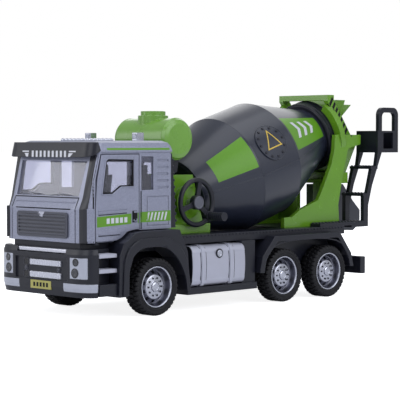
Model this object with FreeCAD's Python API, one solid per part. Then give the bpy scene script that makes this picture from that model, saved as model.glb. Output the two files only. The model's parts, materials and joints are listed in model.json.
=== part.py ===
import FreeCAD
import Part
import math
import os
from FreeCAD import Vector as V

# Toy concrete mixer truck, millimetres. X forward, Y to the driver's left, Z up.
# Stations along X are measured from the front axle and shifted on export, so that
# the exported origin is the middle of the footprint on the ground.

# ---- driving dimensions -------------------------------------------------
R_TYRE, W_TYRE, R_RIM = 11.0, 7.4, 7.9       # wheel
Y_TYRE = 28.86                               # outer face of each tyre
AXLES = {"front": 0.0, "middle": -72.2, "rear": -100.4}
R_AXLE, AXLE_END, BORE_GAP = 1.2, 27.4, 0.05  # axle, its half length, running clearance
X_FRONT, X_REAR = 33.5, -153.6               # front bumper, ladder platform
X_MIDDLE = (X_FRONT + X_REAR) / 2
CAB_W, CAB_REAR, CAB_BASE, CAB_EAVE = 24.15, -11.4, 28.7, 62.1
WALL = 1.6                                   # cab shell
DECK_Z0, DECK_Z1, DECK_W, DECK_END = 26.2, 29.6, 24.0, -121.0
CAB_FLOOR_W, CAB_FLOOR_REAR = 19.5, -14.6    # black floor under the cab
ARCH_TOP = 32.35                             # front arches
TILT = 16.83                                 # drum axis above horizontal
DRUM_P = V(-63.34, 0, 51.75)                 # drum axis at its station 0
R_BELT, BELT_LEN = 25.0, 23.1                # widest band of the drum
S_NOSE, R_NOSE = -26.0, 15.0                 # front rim
S_NECK, R_NECK, S_MOUTH = 54.0, 13.4, 62.9   # rear neck
R_COLLAR, S_COL0, S_COL1 = 15.4, 55.0, 61.9  # collar that runs in the saddle
SADDLE_GAP = 0.1                             # between the collar and the saddle
SKIN = 1.4                                   # drum wall
R_STUB, STUB_START = 2.0, -30.9              # drum's nose shaft
APEX_S = -33.9                               # bevel apex on the drum axis
N_GEAR, N_PINION, MODULE = 16, 12, 0.7833
R_WHEEL, R_RING, Y_WHEEL = 9.9, 1.0, 18.5    # handwheel, its ring and its plane
KNOB_DX, KNOB_DZ = -6.4, -5.6                # grip position from the hub
R_CRANK, R_PIN, R_GRIP = 1.3, 0.8, 1.75      # crank shaft, grip pin, grip
DOOR_Y0, DOOR_AXIS = 22.55, (26.3, 23.6)     # door's inner face, hinge line
R_HINGE = 0.25                               # door hinge pin
LEG_Y0, LEG_Y1 = 16.2, 18.2                  # rear frame side plates
LAD_Y0, LAD_Y1 = 11.6, 24.0                  # ladder sides
CHUTE_X, R_SWIVEL = -130.0, 1.2              # chute swivel line and pin

COS_T, SIN_T = math.cos(math.radians(TILT)), math.sin(math.radians(TILT))
AX, UP = V(-COS_T, 0, SIN_T), V(SIN_T, 0, COS_T)  # along the drum axis, across it
DRUM = FreeCAD.Placement(DRUM_P, FreeCAD.Rotation(V(0, 1, 0), TILT - 90))
APEX = DRUM_P + AX * APEX_S
HUB = V(APEX.x, Y_WHEEL, APEX.z)
KX, KZ = HUB.x + KNOB_DX, HUB.z + KNOB_DZ
X, Y, Z = V(1, 0, 0), V(0, 1, 0), V(0, 0, 1)
ORIGIN = V(0, 0, 0)

nodes = {}


# ---- small helpers ------------------------------------------------------
def box(x0, x1, y0, y1, z0, z1):
    return Part.makeBox(abs(x1 - x0), abs(y1 - y0), abs(z1 - z0),
                        V(min(x0, x1), min(y0, y1), min(z0, z1)))


def prism(pts, a, b, plane="xz"):
    """Polygon swept from a to b: 'xz' along Y, 'yz' along X, 'xy' along Z."""
    corner = {"xz": lambda p: V(p[0], a, p[1]), "yz": lambda p: V(a, p[0], p[1]),
              "xy": lambda p: V(p[0], p[1], a)}[plane]
    sweep = {"xz": Y, "yz": X, "xy": Z}[plane] * (b - a)
    outline = [corner(p) for p in pts]
    return Part.Face(Part.makePolygon(outline + [outline[0]])).extrude(sweep)


def cyl(r, p, d, h):
    return Part.makeCylinder(r, h, p, d)


def cyl_y(r, x, z, y0, y1):
    return Part.makeCylinder(r, y1 - y0, V(x, y0, z), Y)


def mir(shape):
    return shape.mirror(ORIGIN, Y)


def fuse(*shapes):
    whole = shapes[0]
    if len(shapes) > 1:
        whole = whole.multiFuse(list(shapes[1:]))
    return whole.removeSplitter()


def both(name, shape):
    """A left piece and its mirror image as two nodes."""
    nodes[name + "_left"] = shape
    nodes[name + "_right"] = mir(shape)


def pair(name, shape):
    """A left piece and its mirror image kept as one node of two solids."""
    nodes[name] = Part.makeCompound([shape, mir(shape)])


def revolve(pts, sweep=360, start=0):
    """Closed (r, z) outline turned about local Z."""
    outline = [V(r, 0, z) for r, z in pts]
    face = Part.Face(Part.makePolygon(outline + [outline[0]]))
    shape = face.revolve(ORIGIN, Z, sweep)
    if start:
        shape.rotate(ORIGIN, Z, start)
    return shape


def place(shape, placement):
    moved = shape.copy()
    moved.Placement = placement.multiply(moved.Placement)
    return moved


def shift_x(shape, x):
    moved = shape.copy()
    moved.translate(V(x, 0, 0))
    return moved


def round_box(x0, x1, y0, y1, z0, z1, r, axis):
    """Box with the four edges along one axis rounded."""
    block = box(x0, x1, y0, y1, z0, z1)
    rounded = []
    for edge in block.Edges:
        run = edge.Vertexes[1].Point - edge.Vertexes[0].Point
        if abs(getattr(run, axis)) > 1e-6:
            rounded.append(edge)
    return block.makeFillet(r, rounded)


def plan(z, x_front, y_corner, x_side, width, x_rear):
    """Cab outline at one height: flat front, rounded corners, straight sides."""
    def line(a, b):
        return Part.LineSegment(V(*a, z), V(*b, z)).toShape()

    def corner(a, b, c):
        curve = Part.BezierCurve()
        curve.setPoles([V(*a, z), V(*b, z), V(*c, z)])
        return curve.toShape()

    front, side, rear = (x_front, y_corner), (x_side, width), (x_rear, width)
    front_r, side_r, rear_r = (x_front, -y_corner), (x_side, -width), (x_rear, -width)
    return Part.Wire([line(front_r, front), corner(front, (x_front, width), side),
                      line(side, rear), line(rear, rear_r), line(rear_r, side_r),
                      corner(side_r, (x_front, -width), front_r)])


def loft(rows):
    return Part.makeLoft([plan(*row) for row in rows], True, True)


def rect_loft(low, high):
    """Four-sided tapering solid between two rectangles given as x0, x1, y0, y1, z."""
    rings = []
    for x0, x1, y0, y1, z in (low, high):
        rings.append(Part.makePolygon([V(x0, y0, z), V(x1, y0, z), V(x1, y1, z),
                                       V(x0, y1, z), V(x0, y0, z)]))
    return Part.makeLoft(rings, True, True)


# ---- wheels and axles ---------------------------------------------------
Y_IN = Y_TYRE - W_TYRE
TYRE = [(R_RIM, Y_IN + .4), (R_RIM + .9, Y_IN), (R_TYRE - .9, Y_IN), (R_TYRE, Y_IN + .8),
        (R_TYRE, Y_TYRE - .8), (R_TYRE - .9, Y_TYRE), (R_RIM + .9, Y_TYRE - .1),
        (R_RIM, Y_TYRE - .5)]
RIM = [(R_AXLE, Y_IN + 1), (R_RIM, Y_IN + .6), (R_RIM, Y_TYRE - .5), (R_RIM - .7, Y_TYRE - .5),
       (R_RIM - 1.1, Y_TYRE - 2.2), (5.0, Y_TYRE - 2.6), (4.6, Y_TYRE - 1.0),
       (2.0, Y_TYRE - 1.0), (1.8, Y_TYRE - .5), (R_AXLE, Y_TYRE - .5)]
for axle, x in AXLES.items():
    nodes[axle + "_axle"] = cyl_y(R_AXLE, x, R_TYRE, -AXLE_END, AXLE_END)
    hub_place = FreeCAD.Placement(V(x, 0, R_TYRE), FreeCAD.Rotation(X, -90))
    pair(axle + "_tyres", place(revolve(TYRE), hub_place))
    pair(axle + "_rims", place(revolve(RIM), hub_place))

# ---- chassis: spine, deck with a well for the drum, floor under the cab --
spine = box(26, DECK_END, -8, 8, 17, DECK_Z0)
blocks = [box(x - 4.5, x + 4.5, -15, 15, 7.6, 18) for x in AXLES.values()]
deck = box(CAB_FLOOR_REAR, DECK_END, -DECK_W, DECK_W, DECK_Z0, DECK_Z1)
deck = deck.cut(box(-42.6, -86, -12.5, 12.5, DECK_Z0 - 1, DECK_Z1 + 1))
deck_corner = box(-116, DECK_END - 1, 18.4, 25, DECK_Z0 - 1, DECK_Z1 + 1)
deck = deck.cut(deck_corner).cut(mir(deck_corner))
floor = box(CAB_FLOOR_REAR, 27.8, -CAB_FLOOR_W, CAB_FLOOR_W, 24, DECK_Z0)
riser = fuse(box(CAB_FLOOR_REAR, 16, -CAB_FLOOR_W, CAB_FLOOR_W, DECK_Z0, 32.4),
             box(16, 30.6, -CAB_FLOOR_W, CAB_FLOOR_W, DECK_Z0, CAB_BASE - .1))
nose = box(24, 28.6, -CAB_FLOOR_W, CAB_FLOOR_W, 11, DECK_Z0)
# the tongue ends round the chute's swivel pin
tongue = fuse(box(DECK_END, CHUTE_X, -3.3, 3.3, 26.8, DECK_Z1),
              cyl(3.3, V(CHUTE_X, 0, 26.8), Z, DECK_Z1 - 26.8),
              cyl(R_SWIVEL, V(CHUTE_X, 0, 26.8), Z, 7.2))
beam = box(-124.7, -112, -7, 7, 9.5, 17.5)
# a tab and an upright pin under each door carry its hinge
hinge = fuse(box(25.5, 27.0, CAB_FLOOR_W - .2, DOOR_AXIS[1] + .5, 27.9, CAB_BASE - .1),
             cyl(R_HINGE, V(*DOOR_AXIS, 27.9), Z, 3.6))
chassis = fuse(spine, deck, floor, riser, nose, tongue, beam, hinge, mir(hinge), *blocks)
for x in AXLES.values():
    chassis = chassis.cut(cyl_y(R_AXLE + BORE_GAP, x, R_TYRE, -30, 30))

# side boxes under the deck that carry tanks and sills
sill = fuse(box(-17.2, -56.5, 15, 20.0, 9.3, DECK_Z0), box(-17.2, -56.5, 15, 27.6, 6.6, 9.3),
            box(-48.7, -56.5, 19.9, 26.4, 9.3, DECK_Z0))

# ---- front wheel arches -------------------------------------------------
ARCH_OUT = [(18.9, 8.2), (18.6, 23.6), (16.4, 28.3), (13.9, 29.6), (10.8, 31.8), (6.8, ARCH_TOP),
            (-12.2, ARCH_TOP), (-14.2, 28.4), (-16.6, 23.6), (-18.0, 8.6)]
ARCH_IN = [(14.6, 8.0), (14.4, 17.5), (12.4, 23.2), (8.0, 26.3), (-4.6, 26.3), (-10.9, 21.6),
           (-15.0, 14.6), (-15.9, 8.4)]
ARCH_LIP = [(16.9, 8.6), (16.4, 21.4), (13.9, 26.5), (8.9, 29.4), (-4.6, 29.7), (-11.6, 26.6),
            (-15.6, 21.0), (-17.6, 8.6)]
arch_hollow = prism(ARCH_IN + [(-15.9, 4), (14.6, 4)], 15, 31)
arch = prism(ARCH_OUT, 19.6, 28.2).cut(arch_hollow)
lip = prism(ARCH_LIP, 28.2, Y_TYRE).cut(arch_hollow)
arch = fuse(arch, lip).cut(deck)
pair("front_arches", arch)

# ---- rear mudguards: angular band over the tandem axles ------------------
GUARD_OUT = [(-57.1, 12.8), (-58.6, 19.3), (-66.1, 27.4), (-107.3, 27.4), (-114.8, 18.2),
             (-116.4, 12.3)]
GUARD_IN = [(-59.6, 12.7), (-60.9, 18.4), (-67.6, 25.2), (-106.2, 25.2), (-112.9, 17.2),
            (-114.3, 12.4)]
guard = prism(GUARD_OUT + GUARD_IN[::-1], 19.8, Y_TYRE)
guard = guard.cut(box(-40, -125, 19, DECK_W + .05, DECK_Z0 - .02, 31))
web = prism(GUARD_IN, 19.8, 20.8)
pair("rear_mudguards", fuse(guard, web))


# ---- fuel tanks with straps and filler caps ------------------------------
def tank_section(swell):
    """Tank end outline, grown by swell for the straps."""
    low, high, out, inner = 9.5 - swell, 25.4 + swell, 28.5 + swell, 20.2
    foot, knee_low = V(0, out - 3, low), V(0, out - .35, low + 3)
    top, knee_high = V(0, out - 3, high), V(0, out - .35, high - 3)
    back_low, back_high = V(0, inner, low), V(0, inner, high)
    edges = [Part.LineSegment(back_low, foot),
             Part.Arc(foot, V(0, out - 1.0, low + .9), knee_low),
             Part.Arc(knee_low, V(0, out, (low + high) / 2), knee_high),
             Part.Arc(knee_high, V(0, out - 1.0, high - .9), top),
             Part.LineSegment(top, back_high),
             Part.LineSegment(back_high, back_low)]
    return Part.Face(Part.Wire([edge.toShape() for edge in edges]))


STRAPS, STRAP_W = (-25.0, -40.8), 1.9
tank = shift_x(tank_section(0).extrude(X * -29.7), -18.8)
for x in STRAPS:
    strap = tank_section(.3).extrude(X * -STRAP_W)
    tank = tank.fuse(shift_x(strap, x + STRAP_W / 2))
tank = tank.removeSplitter()
pair("fuel_tanks", tank)
pair("sills", fuse(sill.cut(tank).cut(arch)))
pair("tank_caps", cyl_y(1.35, -33.8, 22.1, 28.3, Y_TYRE).cut(tank))

# ---- cab ------------------------------------------------------------------
ROWS = [(CAB_BASE, 32.4, 16.5, 27.3, CAB_W, CAB_REAR), (41.2, 32.4, 16.5, 27.3, CAB_W, CAB_REAR),
        (45.3, 30.4, 17.5, 27.0, CAB_W, CAB_REAR), (59.6, 26.6, 19.8, 24.9, CAB_W, CAB_REAR),
        (CAB_EAVE, 26.0, 19.8, 24.6, CAB_W, CAB_REAR)]
cab_solid = loft(ROWS)
inner = [(z, front - WALL, corner - .8, side - 1.2, width - WALL, rear + 1.2)
         for z, front, corner, side, width, rear in ROWS]
inner[0] = (34.2,) + inner[0][1:]
inner[-1] = (CAB_EAVE + .5,) + inner[-1][1:]
cab = cab_solid.cut(loft(inner)).cut(box(15, 28.5, -DOOR_Y0, DOOR_Y0, 30.3, 34.4))
ARCH_CUT = [(16.4, 27), (16.4, 28.9), (13.9, 29.9), (10.9, 32.1), (6.8, 32.7), (-13, 32.7),
            (-13, 27)]
cab = cab.cut(prism(ARCH_CUT, -26, 26))
DOOR = [(5.35, 61.3), (24.0, 61.3), (26.0, 52), (26.9, 41.4), (26.8, 29.2), (16.7, 29.3),
        (14.1, 30.2), (11.1, 32.4), (7, 33.0), (5.35, 33.0)]
HOLE = [(5.0, 61.65), (24.45, 61.65), (26.85, 52), (27.25, 41.4), (27.15, 26.0), (5.0, 26.0)]
QUARTER = [(-2.25, 47.8), (4.05, 47.8), (4.05, 60.5), (-2.25, 60.5)]
SCREEN = [(-18.4, 45.9), (18.4, 45.9), (19.2, 58.9), (-19.2, 58.9)]
REAR_WINDOW = (-17, 17, 40, 58)
cab = cab.cut(prism(SCREEN, 21, 36, "yz")).cut(box(-12, -9, *REAR_WINDOW))
LOUVRES, LOUVRE_TOP, LOUVRE_PITCH = 5, 59.0, 2.6
side_cuts = [prism(HOLE, 22.2, 27), prism(QUARTER, 20, 27)]
for i in range(LOUVRES):
    z = LOUVRE_TOP - LOUVRE_PITCH * i
    side_cuts.append(box(-10.1, -4.1, 23.75, 25, z - .45, z + .45))
locker = box(1.3, -10.3, 23.85, 25, 34.0, 45.4)
side_cuts.append(locker.cut(box(.9, -9.9, 23, 26, 34.4, 45.0)))
side_cuts.append(prism([(18.6, 28), (18.9, 28), (18.9, 41), (18.6, 41)], 31.2, 34, "yz"))
for side_cut in side_cuts:
    cab = cab.cut(side_cut).cut(mir(side_cut))
cab = cab.cut(box(32.0, 34, -16.2, 16.2, 40.9, 41.25))
nodes["cab_shell"] = cab.removeSplitter()
nodes["chassis_frame"] = chassis.cut(nodes["cab_shell"])

roof = loft([(CAB_EAVE, 26.3, 20.0, 24.7, CAB_W + .35, CAB_REAR - .35),
             (CAB_EAVE + .7, 26.3, 20.0, 24.7, CAB_W + .35, CAB_REAR - .35),
             (64.4, 25.6, 19.6, 24.0, CAB_W - .15, CAB_REAR),
             (65.7, 24.4, 18.6, 22.8, CAB_W - 1.1, CAB_REAR + .7),
             (66.5, 22.4, 17.0, 20.8, CAB_W - 2.9, CAB_REAR + 2.2)])
nodes["cab_roof"] = roof.cut(box(-10, 22, -20, 20, 60, 65.2))

visor_out = loft([(59.7, 30.0, 19.6, 24.8, 25.35, 20), (65.9, 28.6, 19.2, 23.8, 25.0, 20)])
visor_in = loft([(59.0, 26.9, 19.9, 25.0, 24.65, 18), (CAB_EAVE, 26.5, 20.1, 24.9, 24.65, 18),
                 (67.0, 26.5, 20.1, 24.9, 24.65, 18)])
# the visor's ends stop short, with a slanted lower corner
VISOR_END = [(18, 58), (30.6, 58), (30.6, 59.95), (27.4, 61.3), (25.1, 62.8), (26.3, 67), (18, 67)]
nodes["sun_visor"] = visor_out.cut(visor_in).cut(prism(VISOR_END, -30, 30))

GLASS, SCREEN_SET_BACK = 0.7, 0.55
SCREEN_LOW, SCREEN_HIGH = 45.9, 58.9


def screen_x(z):
    """Outer face of the windscreen, set back from the cab's raked front."""
    return 30.4 + (z - 45.3) * (26.6 - 30.4) / (59.6 - 45.3) - SCREEN_SET_BACK


screen = prism([(screen_x(SCREEN_LOW), SCREEN_LOW), (screen_x(SCREEN_HIGH), SCREEN_HIGH),
                (screen_x(SCREEN_HIGH) - GLASS, SCREEN_HIGH),
                (screen_x(SCREEN_LOW) - GLASS, SCREEN_LOW)], -19.2, 19.2)
nodes["windscreen"] = screen.common(prism(SCREEN, 21, 36, "yz"))
PANE_Y0, PANE_Y1 = 23.0, 23.6
quarter = prism(QUARTER, PANE_Y0, PANE_Y1)
nodes["cab_glass"] = Part.makeCompound([quarter, mir(quarter), box(-10.6, -11.2, *REAR_WINDOW)])

back = prism([(-11.45, 32.9), (-11.45, 61.6), (-12.6, 61.6), (-13.9, 45), (-14.4, 32.9)],
             -23.6, 23.6)
nodes["cab_back_panel"] = back.cut(box(-10, -16, *REAR_WINDOW))

handle = round_box(6.7, 8.3, CAB_W - .2, 24.75, 36.0, 39.9, .5, "y")
DOOR_WINDOW = [(23.9, 46.4), (22.0, 59.1), (20.7, 59.9), (7.8, 59.6), (7.8, 49.1), (14.5, 49.1),
               (18.8, 46.4)]
door = fuse(prism(DOOR, DOOR_Y0, CAB_W), handle).cut(prism(DOOR_WINDOW, 20, 26))
door = door.cut(cyl(R_HINGE + BORE_GAP, V(*DOOR_AXIS, 29), Z, 2.7))
both("door", door)
both("door_glass", prism(DOOR_WINDOW, PANE_Y0, PANE_Y1))


def seat(y):
    """Cushion, raked back, head rest and foot of one seat."""
    return fuse(round_box(-6, 5, y - 5, y + 5, 36.4, 39.6, .8, "x"),
                prism([(-6.4, 39.4), (-2.4, 39.4), (-5.0, 53), (-8.2, 53)], y - 5, y + 5),
                box(-8.0, -5.6, y - 2.8, y + 2.8, 53, 57), box(-4, 3, y - 3, y + 3, 34.2, 36.6))


SEAT_Y = 11.5
nodes["seats"] = Part.makeCompound([seat(-SEAT_Y), seat(SEAT_Y)])
dash = prism([(16, 34.3), (29.5, 34.3), (29.5, 41), (27.8, 44.4), (20, 45.2), (17.5, 43.6),
              (19, 38)], -21.6, 21.6)
RAKE = .55
steering, column_line = V(16.2, SEAT_Y, 45.6), V(1, 0, -RAKE)
column = cyl(.6, V(17.2, SEAT_Y, 45.0), column_line, 4.5)
steering_hub = cyl(1.1, V(16.0, SEAT_Y, 45.7), column_line, 1.6)
steering_ring = Part.makeTorus(4.2, .55, steering, column_line)
spokes = []
for turn in (0, math.pi, -math.pi / 2):
    spoke_line = V(RAKE * math.sin(turn), math.cos(turn), math.sin(turn))
    spokes.append(cyl(.4, steering, spoke_line, 4.2))
cockpit = fuse(dash, column, steering_ring, steering_hub, *spokes)
nodes["dashboard"] = cockpit.cut(nodes["cab_shell"])

# ---- front end ------------------------------------------------------------
SLATS, SLAT_PITCH = 6, 1.35
slats = [box(32.45, 33.1, -14.0, 14.0, 31.3 + SLAT_PITCH * i, 32.05 + SLAT_PITCH * i)
         for i in range(SLATS)]
surround = round_box(32.4, 33.0, -15, 15, 30.2, 39.8, 1.4, "x")
surround = surround.cut(round_box(32.3, 33.4, -13.9, 13.9, 31.2, 38.9, .8, "x"))
notch = prism([(-2, 40), (2, 40), (0, 37.6)], 32.7, 34, "yz")
nodes["grille"] = fuse(surround, box(32.4, 32.6, -14, 14, 31, 39), *slats).cut(notch)

vane = prism([(28.0, 24.6), (31.2, 21.9), (31.9, 22.7), (28.6, 25.6)], 29.4, 41.4, "xy")
vane_ribs = [prism([(28.4, 23.6), (30.6, 21.9), (31.4, 22.4), (28.4, 25.0)], z, z + .8, "xy")
             for z in (30.6, 35.0, 39.4)]
pair("corner_vanes", fuse(vane, *vane_ribs).cut(cab_solid))

bumper_out = loft([(8.6, 32.6, 17.5, 26.6, 26.6, 24.0), (12, 33.4, 18.0, 27.2, 27.0, 24.0),
                   (24.5, 33.4, 18.0, 27.2, 27.0, 24.0), (26.4, 32.8, 17.6, 26.8, 26.6, 24.0)])
bumper_in = loft([(7, 30.6, 17.0, 26.0, 24.6, 23.0), (27, 30.6, 17.0, 26.0, 24.6, 23.0)])
bumper = bumper_out.cut(bumper_in).cut(box(20, 27.9, -30, 30, 5, 30))
bumper = bumper.cut(box(32.7, 34, -15.4, 15.4, 14.3, 22.6))
bumper = bumper.cut(box(31.8, 34, -14.4, 14.4, 24.4, 27))
bumper_core = loft([(7, 32.5, 17.6, 26.6, 26.2, 22.0), (27, 32.5, 17.6, 26.6, 26.2, 22.0)])
bumper_skin = bumper_out.cut(bumper_core)
headlamp = bumper_skin.common(box(31.6, 40, 17.0, 30, 15.6, 23.3))
corner_lamp = bumper_skin.common(box(28.2, 40, 13.2, 30, 10.6, 13.7))
for lamp in (headlamp, corner_lamp):
    bumper = bumper.cut(lamp).cut(mir(lamp))
plate = box(32.9, X_FRONT, -6.1, 6.1, 10.7, 13.9)
nodes["front_bumper"] = bumper.cut(plate).cut(chassis)
pair("headlamps", headlamp)
pair("corner_lamps", corner_lamp)
nodes["bumper_trim"] = Part.makeCompound([round_box(31.8, 32.7, -14.2, 14.2, 24.6, 26.2, .4, "y"),
                                          box(32.7, 33.25, -6.8, 11.4, 19.6, 21.7),
                                          box(32.7, 33.25, -6.8, 11.4, 14.9, 17.1)])
nodes["number_plate"] = plate

# steps below each door
pair("step_boxes", fuse(box(19.0, 27.8, 21.0, 22.4, 9.0, DECK_Z0),
                        box(19.0, 27.6, 22.4, 27.2, 9.0, 13.4)))
treads = [box(19.0, 27.7, 22.4, 27.0, z, z + 1.4) for z in (23.2, 17.6)]
nodes["step_treads"] = Part.makeCompound(treads + [mir(tread) for tread in treads])

# roof fittings
ROOF_TOP = 66.5
nodes["roof_bar"] = box(9.4, 11.6, -15.3, 15.3, ROOF_TOP, 67.6)
pair("roof_pods", round_box(-5.4, -1.7, 12.3, 15.6, ROOF_TOP, 69.6, .5, "z"))

# ---- water tank over the gap behind the cab -------------------------------
TANK_X, TANK_Z, R_TANK, CAP_TOP = -24.6, 67.2, 8.3, 78.3
barrel = revolve([(0, -15.2), (6.0, -15.2), (7.6, -14.7), (R_TANK, -13.4), (R_TANK, 13.4),
                  (7.6, 14.7), (6.0, 15.2), (0, 15.2)])
barrel = place(barrel, FreeCAD.Placement(V(TANK_X, 0, TANK_Z), FreeCAD.Rotation(X, -90)))
filler = fuse(cyl(6.1, V(TANK_X, 0, 72.6), Z, 3.9), cyl(5.0, V(TANK_X, 0, 76.4), Z, CAP_TOP - 76.4))
nodes["water_tank"] = fuse(barrel, filler)
arm = prism([(-20.6, 33.3), (-20.6, 62), (-28.6, 62), (-27.0, 54), (-23.0, 53), (-23.0, 33.3)],
            8.6, 11.4)
bracket = fuse(arm, mir(arm), box(-20.6, -22.4, -11.4, 11.4, 44, 47))
nodes["tank_bracket"] = bracket.cut(barrel)


# ---- front pedestal: foot, gear housing and the drum's nose bearing --------
def drum_box(s0, s1, x0, x1, y0, y1):
    return place(box(x0, x1, y0, y1, s0, s1), DRUM)


FOOT_TOP, CHEEK_TOP = 33.3, 52.9
foot = box(-15.0, -40.6, -16.5, 16.5, DECK_Z1, FOOT_TOP)
keep = drum_box(-60, -26.7, -40, 40, -30, 30)
cheek = prism([(-24.2, 33.2), (-24.2, CHEEK_TOP), (-40, CHEEK_TOP), (-46, 33.2)], 8.0, 12.0)
cheek = cheek.common(keep)
nose_wall = drum_box(-28.1, -26.7, -22, 12, -12, 12)
nose_wall = nose_wall.common(box(-60, -20, -20, 20, 33.2, CHEEK_TOP))
boss = cyl_y(6.6, HUB.x, HUB.z, 12, 14.2)
pedestal = fuse(foot, cheek, mir(cheek), nose_wall, box(-24.2, -26.0, -8, 8, 33.2, 36), boss)
pedestal = pedestal.cut(place(cyl(R_STUB + BORE_GAP, V(0, 0, -40), Z, 20), DRUM))
nodes["front_pedestal"] = pedestal.cut(cyl_y(R_CRANK + BORE_GAP, HUB.x, HUB.z, 3, 20))

# ---- rear frame: legs, saddle round the collar, cross wall, hoop ------------
LEG = [(-83.4, DECK_Z1), (-83.4, 34), (-88.5, 34.1), (-93.6, 37), (-105.4, 40.9), (-108, 45),
       (-114.2, 56), (-116.0, 62), (-116.8, 69.2), (-134, 69.2), (-134, 65.0), (-125.6, 63.2),
       (-121.5, 50.2), (-118.8, 38.4), (-119.6, DECK_Z1)]
leg = prism(LEG, LEG_Y0, LEG_Y1)
SADDLE = [(R_COLLAR + SADDLE_GAP, 58.6), (19.0, 58.6), (19.0, 61.6), (R_COLLAR + SADDLE_GAP, 61.6)]
saddle = place(revolve(SADDLE, 276, 42), DRUM)
cross = box(-117.5, -119.5, -LEG_Y0, LEG_Y0, DECK_Z1, 49.6).cut(box(-115, -122, -4.6, 4.6, 33, 47.8))
shelf = fuse(box(-117.5, -127.6, -LEG_Y0, LEG_Y0, 47.8, 49.6),
             box(-122.0, -127.6, -LEG_Y0, LEG_Y0, 48, 52.6))
pads = box(-126.2, -134, 11.8, LEG_Y0, 65.0, 69.2)
HOOP = [(-118.6, 86.7), (-131.8, 69.2), (-126.8, 69.2), (-116.0, 84.0), (-116.0, 86.7)]
hoop_side = prism(HOOP, 12.0, 14.3)
hoop = fuse(hoop_side, mir(hoop_side), box(-116.0, -120.2, -14.3, 14.3, 84.3, 86.7))
heel = box(-88.5, -119, 11.5, LEG_Y0, DECK_Z1, 31.2)
rear_frame = fuse(leg, mir(leg), saddle, cross, shelf, pads, mir(pads), hoop, heel, mir(heel))
# the space the turning drum sweeps inside the frame
SWEPT = [(0, 40), (18.6, 40), (R_NECK + .6, 54.6), (R_COLLAR + SADDLE_GAP, 54.7),
         (R_COLLAR + SADDLE_GAP, 62.3), (14.2, 62.4), (14.2, 63.4), (0, 63.4)]
nodes["rear_frame"] = rear_frame.cut(place(revolve(SWEPT), DRUM))

# charging hopper above the mouth
hopper_out = rect_loft((-129.2, -124.4, -4.5, 4.5, 71.2), (-141, -127.6, -9, 9, 84.8))
hopper_in = rect_loft((-128.2, -125.4, -3.5, 3.5, 71.1), (-140, -128.6, -8, 8, 84.9))
hopper = hopper_out.cut(hopper_in).cut(box(-134.2, -150, -12, 12, 82.8, 90))
ear = box(-123.6, -127.2, 7.2, 12.0, 76.2, 78.6).cut(hopper_out)
nodes["charging_hopper"] = fuse(hopper, ear, mir(ear)).cut(nodes["rear_frame"])
# collecting funnel below the mouth
funnel_out = rect_loft((-137.6, -127.9, -5.6, 5.6, 49.8), (-144.2, -127.6, -9, 9, 68.6))
funnel = funnel_out.cut(rect_loft((-136.6, -128.9, -4.6, 4.6, 49.7), (-143.2, -128.6, -8, 8, 68.7)))
funnel_ear = box(-129, -133.5, 8.2, 11.8, 66.0, 68.4).cut(funnel_out)
nodes["collecting_funnel"] = fuse(funnel, funnel_ear, mir(funnel_ear))

# ---- swivelling chute -------------------------------------------------------
CHUTE_OUT = [(-126.4, 30.2), (-133.4, 30.2), (-135.2, 26.2), (-142.5, 25.8), (-147.4, 28.8),
             (-147.4, 35.0), (-142.6, 39.2), (-135.4, 47.0), (-126.4, 47.0)]
CHUTE_IN = [(-127.5, 48), (-127.5, 41.5), (-132.8, 35.2), (-139.0, 28.6), (-144.5, 27.6),
            (-150, 31.5), (-150, 48)]
trough = prism(CHUTE_OUT, -7, 7).cut(prism(CHUTE_IN, -6, 6))
nodes["chute"] = trough.cut(cyl(R_SWIVEL + BORE_GAP, V(CHUTE_X, 0, 29), Z, 5.4))

# ---- ladder, platform and handrail on the left rear corner ------------------
SIDE = [(-129.4, 31.0), (-129.4, 43.3), (-131.8, 43.3), (-135.0, 54.2), (-135.0, 55.2),
        (-138.0, 55.2), (-139.4, 62.4), (-142.2, 62.4), (-141.8, 61.0), (-135.2, 47.0),
        (-132.4, 38.0), (-132.4, 31.0)]
SIDE_T, STEP_T, TRAY_WALL = 1.9, 1.2, 1.2
LAD_FOOT = box(-121.0, -132.4, LAD_Y0, LAD_Y1, DECK_Z1 - .9, 31.0)
ladder_parts = [prism(SIDE, LAD_Y0, LAD_Y0 + SIDE_T), prism(SIDE, LAD_Y1 - SIDE_T, LAD_Y1),
                box(-128.9, -133.6, LAD_Y0, LAD_Y1, 43.3 - STEP_T, 43.3),
                box(-134.4, -139.0, LAD_Y0, LAD_Y1, 55.2 - STEP_T, 55.2),
                box(-100.0, -132.4, 18.5, LAD_Y1, DECK_Z1, 31.0),
                LAD_FOOT.cut(box(-110, DECK_END - .05, 0, 30, 20, DECK_Z1))]
tray = box(-139.2, X_REAR, LAD_Y0, LAD_Y1, 61.3, 71.0)
tray = tray.cut(box(-140.4, X_REAR + TRAY_WALL, LAD_Y0 + TRAY_WALL, LAD_Y1 - TRAY_WALL, 62.5, 72))
tray = tray.cut(box(-143.0, -150.0, 22, 26, 63.0, 70.2))
rail = round_box(-139.8, X_REAR, 22.2, LAD_Y1, 62, 81.4, 3.4, "y")
rail = rail.cut(round_box(-142.0, -151.2, 20, 26, 55, 79.2, 2.0, "y"))
rail = rail.common(box(-130, -160, 20, 26, 66, 90))
nodes["ladder"] = fuse(*ladder_parts, tray, rail)

# ---- rear bumper bar ----------------------------------------------------------
nodes["rear_bumper"] = round_box(-124.7, -127.9, -26, 26, 8.3, 15.8, .5, "y")


# ---- drum -----------------------------------------------------------------------
def drum_outline(inset):
    """(station, radius) of the drum wall, moved in from the outside by inset."""
    return [(S_NOSE, R_NOSE - inset), (0, R_BELT - inset), (BELT_LEN, R_BELT - inset),
            (S_NECK, R_NECK - inset), (S_MOUTH, R_NECK - inset)]


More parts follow.
